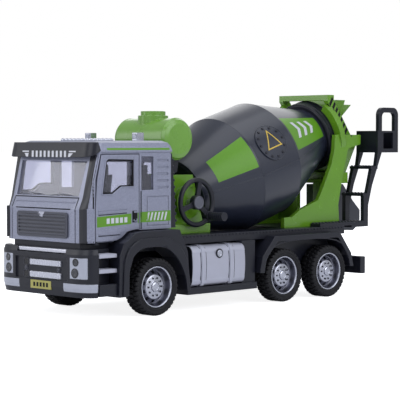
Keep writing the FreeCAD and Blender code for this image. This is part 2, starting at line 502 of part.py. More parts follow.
wall = [(r, s) for s, r in drum_outline(0)] + [(r, s) for s, r in drum_outline(SKIN)][::-1]
nodes["drum_shell_upper"] = place(revolve(wall, 180, -90), DRUM)
nodes["drum_shell_lower"] = place(revolve(wall, 180, 90), DRUM)
shells = nodes["drum_shell_upper"].fuse(nodes["drum_shell_lower"])
NOSE_T = 1.4
nose_plate = revolve([(0, S_NOSE - .3), (4.2, S_NOSE - .3), (4.2, S_NOSE), (R_NOSE - SKIN, S_NOSE),
                      (R_NOSE - SKIN + .5, S_NOSE + NOSE_T), (0, S_NOSE + NOSE_T)])
stub = place(cyl(R_STUB, V(0, 0, STUB_START), Z, S_NOSE + NOSE_T - STUB_START), DRUM)
nodes["drum_nose_plate"] = fuse(place(nose_plate, DRUM).cut(shells), stub)
collar = revolve([(R_NECK, S_COL0), (R_COLLAR - .6, S_COL0), (R_COLLAR, S_COL0 + .6),
                  (R_COLLAR, S_COL1 - .4), (R_COLLAR - .4, S_COL1), (R_NECK, S_COL1)])
nodes["drum_collar"] = place(collar, DRUM)

# hatch on the left flank of the belt
HATCH_S, HATCH_TURN, R_HATCH, HATCH_T = 11.1, 62.6, 7.9, .45
hatch_line = FreeCAD.Placement(DRUM_P + AX * HATCH_S, FreeCAD.Rotation(Y, TILT - 90))
for spin in (FreeCAD.Rotation(Z, HATCH_TURN), FreeCAD.Rotation(Y, 90)):
    hatch_line = hatch_line.multiply(FreeCAD.Placement(ORIGIN, spin))
disc = place(cyl(R_HATCH, V(0, 0, 20), Z, 8), hatch_line)
cup = place(revolve([(R_BELT, -2), (R_BELT + HATCH_T, -2), (R_BELT + HATCH_T, BELT_LEN + 2),
                     (R_BELT, BELT_LEN + 2)]), DRUM)
nodes["drum_hatch"] = disc.common(cup)

# two mixing blades inside, each a helical strip standing on the wall
BLADE_START, BLADE_RUN, BLADE_TURN, BLADE_STEPS = -14.0, 58.0, 330.0, 30
BLADE_HALF, BLADE_H = .45, 5.0


def wall_inside(s):
    """Radius of the drum's inner face at a station."""
    outline = drum_outline(SKIN)
    for (s0, r0), (s1, r1) in zip(outline, outline[1:]):
        if s0 <= s <= s1:
            return r0 + (r1 - r0) * (s - s0) / (s1 - s0)


def blade(start):
    rings = []
    for i in range(BLADE_STEPS + 1):
        s = BLADE_START + BLADE_RUN * i / BLADE_STEPS
        turn = math.radians(start + BLADE_TURN * i / BLADE_STEPS)
        outward = V(math.cos(turn), math.sin(turn), 0)
        foot_line, crest = outward * (wall_inside(s) - .05), outward * (wall_inside(s) - BLADE_H)
        low, high = Z * (s - BLADE_HALF), Z * (s + BLADE_HALF)
        rings.append(Part.makePolygon([foot_line + low, foot_line + high, crest + high,
                                       crest + low, foot_line + low]))
    return place(Part.makeLoft(rings, True, True), DRUM)


nodes["drum_blades"] = Part.makeCompound([blade(0).cut(shells), blade(180).cut(shells)])

# ---- bevel gears: teeth run to the common apex -------------------------------------
R_GEAR, R_PINION = MODULE * N_GEAR / 2, MODULE * N_PINION / 2
CONE = math.hypot(R_GEAR, R_PINION)
ADDENDUM, DEDENDUM = .72 * MODULE, 1.05 * MODULE
FACE = .27                                   # tooth length as a share of the cone
TOOTH = {"root": .29, "pitch": .185, "tip": .09}  # half widths in tooth pitches


def bevel(teeth, r_pitch, distance, turn):
    """Gear about local Z, apex at the origin, back face at Z = distance."""
    cone_angle = math.atan2(r_pitch, distance)
    r_tip = distance * math.tan(cone_angle + math.atan(ADDENDUM / CONE))
    r_root = distance * math.tan(cone_angle - math.atan(DEDENDUM / CONE))
    flank = [(TOOTH["root"], r_root), (TOOTH["pitch"], r_pitch), (TOOTH["tip"], r_tip)]
    tooth = [(-half, r) for half, r in flank] + [(half, r) for half, r in flank[::-1]]
    pitch_angle = 2 * math.pi / teeth
    points = []
    for i in range(teeth):
        for offset, r in tooth:
            angle = turn + (i + offset) * pitch_angle
            points.append(V(r * math.cos(angle), r * math.sin(angle), distance))
    outer = Part.makePolygon(points + [points[0]])
    inner_end = outer.copy()
    inner_end.scale(1 - FACE, ORIGIN)
    return Part.makeLoft([inner_end, outer], True, True)


gear_place = FreeCAD.Placement(APEX, FreeCAD.Rotation(Y, TILT - 90))
gear = bevel(N_GEAR, R_GEAR, R_PINION, math.pi / 2)
gear = gear.fuse(cyl(3.2, Z * (R_PINION - .01), Z, .31)).cut(cyl(R_STUB, V(0, 0, -5), Z, 20))
nodes["drum_gear"] = place(gear.removeSplitter(), gear_place)
# the pinion's frame: local X along the drum axis, local Y across it, local Z to the left
pinion_place = FreeCAD.Placement(FreeCAD.Matrix(AX.x, UP.x, 0, APEX.x, AX.y, UP.y, 1, APEX.y,
                                                AX.z, UP.z, 0, APEX.z, 0, 0, 0, 1))
pinion = bevel(N_PINION, R_PINION, R_GEAR, math.pi / N_PINION)
pinion = pinion.fuse(cyl(2.4, Z * (R_GEAR - .01), Z, 7.71 - R_GEAR))
pinion = pinion.cut(cyl(R_CRANK, V(0, 0, -5), Z, 20))
nodes["crank_pinion"] = place(pinion.removeSplitter(), pinion_place)
SHAFT_END = 19.4
nodes["crank_shaft"] = cyl_y(R_CRANK, HUB.x, HUB.z, 4.7, SHAFT_END)

# handwheel with three spokes and a fixed pin for the free-turning grip
ring = Part.makeTorus(R_WHEEL - R_RING, R_RING, HUB, Y)
hub = cyl_y(2.9, HUB.x, HUB.z, 17.5, 19.9)
arms = []
first = math.degrees(math.atan2(KNOB_DZ, KNOB_DX))
for angle in (first, first + 120, first - 120):
    arm = box(0, R_WHEEL - 1.2, 17.9, 19.1, -1.0, 1.0)
    arm.rotate(ORIGIN, Y, -angle)
    arm.translate(V(HUB.x, 0, HUB.z))
    arms.append(arm)
wheel = fuse(ring, hub, cyl_y(2.0, KX, KZ, 17.6, 20.0), *arms)
wheel = wheel.cut(cyl_y(R_CRANK, HUB.x, HUB.z, 10, SHAFT_END))
nodes["handwheel"] = wheel.cut(cyl_y(R_PIN, KX, KZ, 10, 30))
nodes["grip_pin"] = fuse(cyl_y(R_PIN, KX, KZ, 17.6, 27.2), cyl_y(R_GRIP, KX, KZ, 27.0, 27.8))
sleeve = cyl_y(R_GRIP, KX, KZ, 20.25, 26.8)
nodes["grip_sleeve"] = sleeve.cut(cyl_y(R_PIN + .06, KX, KZ, 15, 30))

# ---- export ---------------------------------------------------------------------------
os.makedirs("parts", exist_ok=True)
total = None
for name, shape in nodes.items():
    row_shape = shift_x(shape, -X_MIDDLE)
    if not row_shape.isValid() or row_shape.Volume <= 0:
        print("not a good solid:", name)
    row_shape.exportStep("parts/%s.step" % name)
    bounds = row_shape.BoundBox
    total = bounds if total is None else total.united(bounds)
print(len(nodes), "nodes", "X", round(total.XMin, 3), round(total.XMax, 3),
      "Y", round(total.YMin, 3), round(total.YMax, 3), "Z", round(total.ZMin, 3), round(total.ZMax, 3))
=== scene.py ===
import json
import math
import bmesh
import bpy
from mathutils import Matrix, Vector
from mathutils.bvhtree import BVHTree


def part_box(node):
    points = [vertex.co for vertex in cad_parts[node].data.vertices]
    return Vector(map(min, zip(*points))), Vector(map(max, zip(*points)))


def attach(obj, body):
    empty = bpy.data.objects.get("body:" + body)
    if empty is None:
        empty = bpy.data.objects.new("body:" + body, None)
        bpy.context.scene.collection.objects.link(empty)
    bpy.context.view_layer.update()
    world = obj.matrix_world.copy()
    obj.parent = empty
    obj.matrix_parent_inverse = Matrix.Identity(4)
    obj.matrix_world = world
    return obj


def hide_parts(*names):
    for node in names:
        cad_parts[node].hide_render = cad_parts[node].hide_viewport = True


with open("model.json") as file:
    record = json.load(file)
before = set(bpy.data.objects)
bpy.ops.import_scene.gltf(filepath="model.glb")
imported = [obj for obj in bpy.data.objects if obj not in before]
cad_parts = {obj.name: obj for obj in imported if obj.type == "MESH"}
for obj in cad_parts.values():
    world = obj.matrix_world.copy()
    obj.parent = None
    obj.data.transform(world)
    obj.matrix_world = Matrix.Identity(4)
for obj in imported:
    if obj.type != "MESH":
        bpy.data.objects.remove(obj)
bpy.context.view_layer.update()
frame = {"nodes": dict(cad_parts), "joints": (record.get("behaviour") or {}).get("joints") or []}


# The table: a wide pale sheet under the toy, a white room, and soft boxes above, in front
# and to the sides. The camera looks at the front left corner from a little above the axles.
MM = 0.001
FRONT_AXLE_X = sum(corner.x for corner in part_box("front_axle")) / 2


def at(x, y, z):
    """A place on the truck in metres, from millimetres ahead of the front axle, to the left and up."""
    return Vector((FRONT_AXLE_X + x * MM, y * MM, z * MM))


def keep_object(name, mesh):
    """Puts a finished mesh into the scene under that name."""
    thing = bpy.data.objects.new(name, mesh)
    bpy.context.scene.collection.objects.link(thing)
    return thing


def worked_out(tree, operation, first, second, third=None):
    """A Math node on sockets and plain numbers; gives the socket that holds its result."""
    step = tree.nodes.new("ShaderNodeMath")
    step.operation = operation
    for socket, value in zip(step.inputs, (first, second, third)):
        if isinstance(value, float):
            socket.default_value = value
        elif value is not None:
            tree.links.new(value, socket)
    return step.outputs["Value"]


bpy.context.scene.view_settings.view_transform = "Standard"

table_paper = bpy.data.materials.new("table_paper")
table_paper.use_nodes = True
paper = table_paper.node_tree
fibres = paper.nodes.new("ShaderNodeTexNoise")
fibres.inputs["Scale"].default_value = 40.0
paper_tone = paper.nodes.new("ShaderNodeValToRGB")
paper_tone.color_ramp.elements[0].color = (0.93, 0.93, 0.94, 1)
paper_tone.color_ramp.elements[1].color = (0.97, 0.97, 0.98, 1)
paper.links.new(fibres.outputs["Fac"], paper_tone.inputs["Fac"])
paper.links.new(paper_tone.outputs["Color"], paper.nodes["Principled BSDF"].inputs["Base Color"])
paper.nodes["Principled BSDF"].inputs["Roughness"].default_value = 0.9
paper.nodes["Principled BSDF"].inputs["Specular IOR Level"].default_value = 0.05
paper.nodes["Principled BSDF"].inputs["Emission Color"].default_value = (1, 1, 1, 1)
seen_sheet = paper.nodes.new("ShaderNodeLightPath")
straight = worked_out(paper, "MAXIMUM", seen_sheet.outputs["Is Camera Ray"],
                      seen_sheet.outputs["Is Transmission Ray"])
glow = worked_out(paper, "MULTIPLY", straight, 0.85)
paper.links.new(glow, paper.nodes["Principled BSDF"].inputs["Emission Strength"])

sheet_form = bmesh.new()
bmesh.ops.create_circle(sheet_form, cap_ends=True, radius=9.0, segments=96)
sheet_mesh = bpy.data.meshes.new("table_sheet")
sheet_form.to_mesh(sheet_mesh)
sheet_form.free()
sheet_mesh.materials.append(table_paper)
table_sheet = keep_object("table_sheet", sheet_mesh)

room = bpy.data.worlds.new("white_room")
bpy.context.scene.world = room
room.use_nodes = True
air = room.node_tree
room_light = air.nodes["Background"]
room_light.inputs["Color"].default_value = (0.84, 0.89, 1.0, 1)
room_light.inputs["Strength"].default_value = 0.30
white_back = air.nodes.new("ShaderNodeBackground")
white_back.inputs["Color"].default_value = (1, 1, 1, 1)
white_back.inputs["Strength"].default_value = 1.0
seen = air.nodes.new("ShaderNodeLightPath")
blend = air.nodes.new("ShaderNodeMixShader")
looked_through = worked_out(air, "MAXIMUM", seen.outputs["Is Camera Ray"],
                            seen.outputs["Is Transmission Ray"])
mirrored = worked_out(air, "MULTIPLY_ADD", seen.outputs["Is Glossy Ray"], 0.40, looked_through)
air.links.new(worked_out(air, "MINIMUM", mirrored, 1.0), blend.inputs["Fac"])
air.links.new(room_light.outputs["Background"], blend.inputs[1])
air.links.new(white_back.outputs["Background"], blend.inputs[2])
air.links.new(blend.outputs["Shader"], air.nodes["World Output"].inputs["Surface"])


def soft_box(name, place, towards, wide, high, power, tint=(1, 1, 1)):
    """A flat soft lamp of that size, turned to face a point on the toy."""
    lamp = bpy.data.lights.new(name, "AREA")
    lamp.shape = "RECTANGLE"
    lamp.size, lamp.size_y = wide, high
    lamp.energy, lamp.color = power, tint
    stand = bpy.data.objects.new(name, lamp)
    bpy.context.scene.collection.objects.link(stand)
    stand.location = place
    stand.rotation_euler = (towards - place).to_track_quat("-Z", "Y").to_euler()


middle = at(-55, 0, 35)
soft_box("soft_box_above", at(-60, 120, 800), middle, 0.9, 0.55, 2.2, (0.93, 0.95, 1.0))
soft_box("soft_box_front", at(700, 120, 420), middle, 0.5, 0.6, 1.8, (0.93, 0.95, 1.0))
soft_box("soft_box_side", at(-160, 760, 420), middle, 0.8, 0.5, 2.7, (0.93, 0.95, 1.0))
soft_box("soft_box_far_corner", at(620, -560, 330), middle, 0.35, 0.5, 1.2)
soft_box("soft_box_behind", at(-620, -420, 420), middle, 0.6, 0.5, 1.0)

TARGET, CAMERA_DISTANCE = at(-51.24, 0, 41.88), 625.5 * MM
CAMERA_TURN, CAMERA_RISE = math.radians(44.83), math.radians(2.197)
back = Vector((math.sin(CAMERA_TURN) * math.cos(CAMERA_RISE),
               math.cos(CAMERA_TURN) * math.cos(CAMERA_RISE), math.sin(CAMERA_RISE)))
camera_data = bpy.data.cameras.new("camera")
camera_data.lens, camera_data.sensor_width = 135.3, 36.0
camera = bpy.data.objects.new("camera", camera_data)
bpy.context.scene.collection.objects.link(camera)
camera.location = TARGET + back * CAMERA_DISTANCE
camera.rotation_euler = (-back).to_track_quat("-Z", "Y").to_euler()
bpy.context.scene.camera = camera


# Chassis tray and side boxes: one black plastic moulding with a satin skin, which carries every
# other part. The finish is a group shared by all mouldings: mottle, grain and rubbed edges.
def make_worked_surface():
    """Builds the shared finish: uneven tone, fine grain, and corners rounded and rubbed by handling."""
    group = bpy.data.node_groups.new("worked_surface", "ShaderNodeTree")
    for name, kind, value in (("Colour", "NodeSocketColor", (0.5, 0.5, 0.5, 1)),
                              ("Worn Colour", "NodeSocketColor", (0.6, 0.6, 0.6, 1)),
                              ("Mottle", "NodeSocketFloat", 0.1),
                              ("Mottle Scale", "NodeSocketFloat", 180.0),
                              ("Roughness", "NodeSocketFloat", 0.4),
                              ("Roughness Spread", "NodeSocketFloat", 0.1),
                              ("Grain Scale", "NodeSocketFloat", 2500.0),
                              ("Edge Radius", "NodeSocketFloat", 0.0003),
                              ("Edge Wear", "NodeSocketFloat", 0.4)):
        group.interface.new_socket(name, in_out="INPUT", socket_type=kind).default_value = value
    for name, kind in (("Colour", "NodeSocketColor"), ("Roughness", "NodeSocketFloat"),
                       ("Height", "NodeSocketFloat"), ("Rounded", "NodeSocketVector")):
        group.interface.new_socket(name, in_out="OUTPUT", socket_type=kind)
    nodes, links = group.nodes, group.links
    given, made = nodes.new("NodeGroupInput"), nodes.new("NodeGroupOutput")
    where = nodes.new("ShaderNodeTexCoord")
    cloud, grain = nodes.new("ShaderNodeTexNoise"), nodes.new("ShaderNodeTexNoise")
    cloud.inputs["Detail"].default_value = 4.0
    grain.inputs["Detail"].default_value = 2.0
    for noise, scale in ((cloud, "Mottle Scale"), (grain, "Grain Scale")):
        links.new(where.outputs["Object"], noise.inputs["Vector"])
        links.new(given.outputs[scale], noise.inputs["Scale"])

    tone = worked_out(group, "SUBTRACT", cloud.outputs["Fac"], 0.5)
    uneven = worked_out(group, "MULTIPLY", tone, given.outputs["Mottle"])
    shade = worked_out(group, "MULTIPLY_ADD", uneven, 2.0, 1.0)
    toned = nodes.new("ShaderNodeVectorMath")
    toned.operation = "SCALE"
    links.new(given.outputs["Colour"], toned.inputs[0])
    links.new(shade, toned.inputs["Scale"])
    rounded = nodes.new("ShaderNodeBevel")
    rounded.samples = 4
    links.new(given.outputs["Edge Radius"], rounded.inputs["Radius"])
    face = nodes.new("ShaderNodeNewGeometry")
    likeness = nodes.new("ShaderNodeVectorMath")
    likeness.operation = "DOT_PRODUCT"
    links.new(rounded.outputs["Normal"], likeness.inputs[0])
    links.new(face.outputs["Normal"], likeness.inputs[1])
    turned_away = worked_out(group, "SUBTRACT", 1.0, likeness.outputs["Value"])
    rub = nodes.new("ShaderNodeMapRange")
    rub.inputs["From Min"].default_value = 0.03
    rub.inputs["From Max"].default_value = 0.22
    links.new(turned_away, rub.inputs["Value"])
    speckle = worked_out(group, "MULTIPLY_ADD", grain.outputs["Fac"], 0.6, 0.5)
    patchy = worked_out(group, "MULTIPLY", rub.outputs["Result"], speckle)
    edge = worked_out(group, "MULTIPLY", patchy, given.outputs["Edge Wear"])
    worn = nodes.new("ShaderNodeMix")
    worn.data_type = "RGBA"
    links.new(edge, worn.inputs["Factor"])
    links.new(toned.outputs["Vector"], worn.inputs["A"])
    links.new(given.outputs["Worn Colour"], worn.inputs["B"])
    links.new(worn.outputs["Result"], made.inputs["Colour"])
    spread = worked_out(group, "MULTIPLY", tone, given.outputs["Roughness Spread"])
    links.new(worked_out(group, "ADD", given.outputs["Roughness"], spread), made.inputs["Roughness"])
    links.new(grain.outputs["Fac"], made.inputs["Height"])
    links.new(rounded.outputs["Normal"], made.inputs["Rounded"])
    return group


worked_surface = make_worked_surface()


def finish_of(name, colour, worn, metallic=0.0, coat=0.0, bump=0.08, specular=0.5, **surface):
    """A finish on the worked surface; the surface words are the group's own inputs."""
    made = bpy.data.materials.new(name)
    made.use_nodes = True
    nodes, links = made.node_tree.nodes, made.node_tree.links
    shader = nodes["Principled BSDF"]
    skin = nodes.new("ShaderNodeGroup")
    skin.name = "skin"
    skin.node_tree = worked_surface
    skin.inputs["Colour"].default_value = (*colour, 1)
    skin.inputs["Worn Colour"].default_value = (*worn, 1)
    for word, value in surface.items():
        skin.inputs[word.replace("_", " ").title()].default_value = value
    relief = nodes.new("ShaderNodeBump")
    relief.inputs["Strength"].default_value = bump
    relief.inputs["Distance"].default_value = 0.0001
    links.new(skin.outputs["Height"], relief.inputs["Height"])
    links.new(skin.outputs["Rounded"], relief.inputs["Normal"])
    links.new(relief.outputs["Normal"], shader.inputs["Normal"])
    links.new(skin.outputs["Colour"], shader.inputs["Base Color"])
    links.new(skin.outputs["Roughness"], shader.inputs["Roughness"])
    shader.inputs["Metallic"].default_value = metallic
    shader.inputs["Coat Weight"].default_value = coat
    shader.inputs["Coat Roughness"].default_value = 0.12
    shader.inputs["Specular IOR Level"].default_value = specular
    return made


def masked(made, limits, under):
    """Shows a plain colour under the finish wherever every limit on the place (axis, test, value) is met."""
    tree = made.node_tree
    nodes, links = tree.nodes, tree.links
    shader = nodes["Principled BSDF"]
    where, spot = nodes.new("ShaderNodeTexCoord"), nodes.new("ShaderNodeSeparateXYZ")
    links.new(where.outputs["Object"], spot.inputs["Vector"])
    across = worked_out(tree, "ABSOLUTE", spot.outputs["Y"], None)
    mask = None
    for axis, test, limit in limits:
        met = worked_out(tree, test, across if axis == "Y" else spot.outputs[axis], limit)
        mask = worked_out(tree, "MULTIPLY", mask, met) if mask else met
    cover = nodes.new("ShaderNodeMix")
    cover.data_type = "RGBA"
    cover.inputs["B"].default_value = (*under, 1)
    links.new(mask, cover.inputs["Factor"])
    links.new(shader.inputs["Base Color"].links[0].from_socket, cover.inputs["A"])
    links.new(cover.outputs["Result"], shader.inputs["Base Color"])
    metal = shader.inputs["Metallic"].default_value
    links.new(worked_out(tree, "MULTIPLY_ADD", mask, -metal, metal), shader.inputs["Metallic"])
    return made


def dress(finish, *names):
    """Gives CAD nodes their finish through their objects' own slots."""
    for name in names:
        for place in frame["nodes"][name].material_slots:
            place.material = finish


satin_black = finish_of("satin_black", (0.0100, 0.0110, 0.0185), (0.080, 0.087, 0.118), mottle=0.15,
                        specular=0.38, roughness=0.34, roughness_spread=0.12, edge_wear=0.4,
                        edge_radius=0.0004)
dress(satin_black, "chassis_frame", "sills", "rear_bumper")


def slab(name, outline, depth, chamfer, finish):
    """A template with a flat outline in Y and Z, given depth along X and broken edges."""
    form = bmesh.new()
    ring = [form.verts.new(Vector((-depth / 2, y, z)) * MM) for y, z in outline]
    face = form.faces.new(ring)
    pushed = bmesh.ops.extrude_face_region(form, geom=[face])["geom"]
    moved = [part for part in pushed if isinstance(part, bmesh.types.BMVert)]
    bmesh.ops.translate(form, verts=moved, vec=Vector((depth * MM, 0, 0)))
    bmesh.ops.recalc_face_normals(form, faces=form.faces)
    if chamfer:
        bmesh.ops.bevel(form, geom=list(form.edges), offset=chamfer * MM, segments=1, affect="EDGES")
    mesh = bpy.data.meshes.new(name)
    form.to_mesh(mesh)
    form.free()
    mesh.materials.append(finish)
    return mesh


def make_repeat_tree():
    """Builds the tree that sets copies of one part in a row, in a ring, or both."""
    tree = bpy.data.node_groups.new("repeat_part", "GeometryNodeTree")
    for name, kind in (("Part", "NodeSocketObject"), ("Count", "NodeSocketInt"), ("Step", "NodeSocketVector"),
                       ("Turn", "NodeSocketFloat"), ("Finish", "NodeSocketMaterial")):
        tree.interface.new_socket(name, in_out="INPUT", socket_type=kind)
    tree.interface.new_socket("Parts", in_out="OUTPUT", socket_type="NodeSocketGeometry")
    nodes, links = tree.nodes, tree.links
    given, made = nodes.new("NodeGroupInput"), nodes.new("NodeGroupOutput")
    index = nodes.new("GeometryNodeInputIndex")
    along = nodes.new("ShaderNodeVectorMath")
    along.operation = "SCALE"
    links.new(given.outputs["Step"], along.inputs[0])
    links.new(index.outputs["Index"], along.inputs["Scale"])
    points = nodes.new("GeometryNodePoints")
    links.new(given.outputs["Count"], points.inputs["Count"])
    links.new(along.outputs["Vector"], points.inputs["Position"])
    about_z = nodes.new("ShaderNodeCombineXYZ")
    angle = worked_out(tree, "MULTIPLY", given.outputs["Turn"], index.outputs["Index"])
    links.new(angle, about_z.inputs["Z"])
    rotation = nodes.new("FunctionNodeEulerToRotation")
    links.new(about_z.outputs["Vector"], rotation.inputs["Euler"])
    part = nodes.new("GeometryNodeObjectInfo")
    links.new(given.outputs["Part"], part.inputs["Object"])
    copies = nodes.new("GeometryNodeInstanceOnPoints")
    links.new(points.outputs["Points"], copies.inputs["Points"])
    links.new(part.outputs["Geometry"], copies.inputs["Instance"])
    links.new(rotation.outputs["Rotation"], copies.inputs["Rotation"])
    real = nodes.new("GeometryNodeRealizeInstances")
    links.new(copies.outputs["Instances"], real.inputs["Geometry"])
    finished = nodes.new("GeometryNodeSetMaterial")
    links.new(real.outputs["Geometry"], finished.inputs["Geometry"])
    links.new(given.outputs["Finish"], finished.inputs["Material"])
    links.new(finished.outputs["Geometry"], made.inputs["Parts"])
    return tree


repeat_tree = make_repeat_tree()


def repeated(mesh, count, step=(0, 0, 0), turn=0.0, place=Matrix.Identity(4)):
    """Copies of a template from the tree, as one plain mesh set into its place on the truck."""
    part = keep_object("template", mesh)
    holder = keep_object("row", bpy.data.meshes.new("row"))
    grown = holder.modifiers.new("repeat", "NODES")
    grown.node_group = repeat_tree
    values = {"Part": part, "Count": count, "Step": Vector(step) * MM, "Turn": turn,
              "Finish": mesh.materials[0]}
    for socket in repeat_tree.interface.items_tree:
        if socket.in_out == "INPUT":
            grown[socket.identifier] = values[socket.name]
    graph = bpy.context.evaluated_depsgraph_get()
    result = bpy.data.meshes.new_from_object(holder.evaluated_get(graph), depsgraph=graph)
    for used in (holder, part):
        bpy.data.objects.remove(used)
    result.transform(place)
    return result


def joined(meshes):
    """Several meshes as one, each keeping its finish."""
    form = bmesh.new()
    finishes = []
    for mesh in meshes:
        shift = len(finishes)
        start = len(form.faces)
        form.from_mesh(mesh)
        form.faces.ensure_lookup_table()
        for face in form.faces[start:]:
            face.material_index += shift
        finishes += list(mesh.materials)
    whole = bpy.data.meshes.new("joined")
    form.to_mesh(whole)
    form.free()
    for finish in finishes:
        whole.materials.append(finish)
    return whole


def fit(name, meshes, body, stands_for=(), smooth=None):
    """Makes one riding piece of those meshes, smooth up to an angle in degrees if one is given."""
    mesh = joined(meshes)
    if smooth:
        mesh.shade_smooth()
        mesh.set_sharp_from_angle(angle=math.radians(smooth))
    piece = keep_object(name, mesh)
    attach(piece, body)
    if stands_for:
        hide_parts(*stands_for)
    return piece


DECK_BEAD = [(-0.3, -0.25), (0.3, -0.25), (0.3, 0.15), (0.0, 0.35), (-0.3, 0.15)]
studs = []
for side in (1, -1):
    stud = slab("deck_stud", DECK_BEAD, 0.8, 0.06, satin_black)
    studs.append(repeated(stud, 50, (-2.0, 0, 0), 0, Matrix.Translation(at(-16.5, side * 24.05, 28.9))))
fit("deck_edge_studs", studs, "chassis")


# Wheels: black rubber tyres with three rows of lugs, each on a plated dished rim with ten
# hand holes, ten nuts and a hub cap. Each pair is pressed on to one steel axle.
rubber = finish_of("rubber", (0.006, 0.006, 0.008), (0.035, 0.035, 0.042), mottle=0.35, mottle_scale=260.0,
                   roughness=0.62, roughness_spread=0.25, edge_wear=0.6, edge_radius=0.00025, bump=0.25,
                   specular=0.3)
plated = finish_of("plated", (0.50, 0.515, 0.59), (0.72, 0.74, 0.80), metallic=1.0, mottle=0.05,
                   roughness=0.26, roughness_spread=0.12, edge_wear=0.3, edge_radius=0.0002)
dish_grey = finish_of("dish_grey", (0.20, 0.205, 0.25), (0.5, 0.5, 0.55), metallic=0.9, mottle=0.1,
                      roughness=0.3, edge_wear=0.3)
plated_dark = finish_of("plated_dark", (0.05, 0.052, 0.065), (0.2, 0.2, 0.22), metallic=0.8, mottle=0.2,
                        roughness=0.4, edge_wear=0.2)
steel = finish_of("steel", (0.50, 0.51, 0.54), (0.7, 0.7, 0.72), metallic=1.0, mottle=0.12,
                  roughness=0.32, roughness_spread=0.2, edge_wear=0.4)


def turned(name, profile, segments, finish, closed=True):
    """A shape turned about Z from millimetre (radius, height) points."""
    form = bmesh.new()
    loops = []
    for radius, height in profile:
        if radius < 1e-6:
            loops.append([form.verts.new(Vector((0, 0, height)) * MM)] * segments)
            continue
        loops.append([form.verts.new(Vector((radius * math.cos(math.tau * i / segments),
                                             radius * math.sin(math.tau * i / segments), height)) * MM)
                      for i in range(segments)])
    pairs = list(zip(loops, loops[1:]))
    if closed:
        pairs.append((loops[-1], loops[0]))
    for low, high in pairs:
        for i in range(segments):
            j = (i + 1) % segments
            corners = []
            for corner in (low[i], low[j], high[j], high[i]):
                if corner not in corners:
                    corners.append(corner)
            if len(corners) > 2:
                form.faces.new(corners)
    bmesh.ops.recalc_face_normals(form, faces=form.faces)
    mesh = bpy.data.meshes.new(name)
    form.to_mesh(mesh)
    form.free()
    mesh.materials.append(finish)
    return mesh


TYRE_PROFILE = [(7.9, 21.9), (8.8, 21.52), (9.8, 21.48), (10.35, 21.8), (10.5, 22.3), (10.5, 28.0),
                (10.35, 28.5), (9.9, 28.8), (9.45, 28.84), (9.35, 28.7), (9.0, 28.66), (8.9, 28.8),
                (8.55, 28.78), (8.2, 28.5), (7.9, 28.1)]
SHOULDER_LUG = [(9.75, 28.86), (9.75, 28.6), (10.4, 26.75), (10.99, 26.75), (10.99, 28.1), (10.75, 28.5),
                (10.1, 28.86)]
MIDDLE_LUG = [(10.4, 24.35), (10.99, 24.35), (10.99, 26.4), (10.4, 26.4)]
INNER_LUG = [(10.4, 21.8), (10.99, 22.2), (10.99, 24.0), (10.4, 24.0)]
LUGS = 36
RIM_PROFILE = [(7.9, 22.2), (7.9, 28.15), (7.8, 28.36), (7.45, 28.36), (7.25, 28.15), (7.12, 27.6),
               (6.95, 26.4), (6.7, 25.7), (6.35, 25.45), (6.05, 25.55), (5.75, 25.85), (5.2, 26.45),
               (4.85, 26.85), (4.6, 27.1), (4.35, 27.2), (2.2, 27.2), (2.0, 27.28), (1.9, 27.7),
               (1.6, 27.95), (1.25, 28.0), (1.15, 27.8), (0.0, 27.8)]
NUT = [(3.42 + 0.42 * math.cos(math.radians(a)), 0.42 * math.sin(math.radians(a))) for a in range(0, 360, 60)]


def to_side(side):
    """Turns a piece made along Z so that it points out of that side of the truck."""
    return Matrix.Rotation(math.radians(-90 * side), 4, "X")


def upright(mesh):
    """Turns a template made flat in Y and Z so that its outline lies across X and its depth along Z."""
    mesh.transform(Matrix(((0, 1, 0, 0), (0, 0, 1, 0), (1, 0, 0, 0), (0, 0, 0, 1))))
    return mesh


def lug(outline):
    """A tread block at its radius: the outline runs outward and sideways, its depth round the tyre."""
    mesh = slab("lug", outline, 1.25, 0.09, rubber)
    mesh.transform(Matrix(((0, 1, 0, 0), (1, 0, 0, 0), (0, 0, 1, 0), (0, 0, 0, 1))))
    mesh.flip_normals()
    return mesh


def dished_rim():
    """The plated rim with its hand holes pushed in through the slope round the disc."""
    segments, hole_count = 120, 10
    mesh = turned("rim", RIM_PROFILE, segments, plated, closed=False)
    mesh.materials.append(plated_dark)
    mesh.materials.append(dish_grey)
    form = bmesh.new()
    form.from_mesh(mesh)
    for face in form.faces:
        middle_point = face.calc_center_median()
        if 4.7 < math.hypot(middle_point.x, middle_point.y) / MM < 7.2 and middle_point.z > 25 * MM:
            face.material_index = 2
    for hole in range(hole_count):
        chosen = []
        for face in form.faces:
            middle_point = face.calc_center_median()
            radius = math.hypot(middle_point.x, middle_point.y) / MM
            angle = math.degrees(math.atan2(middle_point.y, middle_point.x)) % 360
            away = abs((angle - hole * 36 - 18 + 180) % 360 - 180)
            if 4.9 < radius < 6.2 and away < 9.5 and middle_point.z > 25.4 * MM:
                chosen.append(face)
        bmesh.ops.inset_region(form, faces=chosen, thickness=0.1 * MM, depth=0)
        bmesh.ops.inset_region(form, faces=chosen, thickness=0.02 * MM, depth=-0.9 * MM)
        for face in chosen:
            face.material_index = 1
    form.to_mesh(mesh)
    form.free()
    return mesh


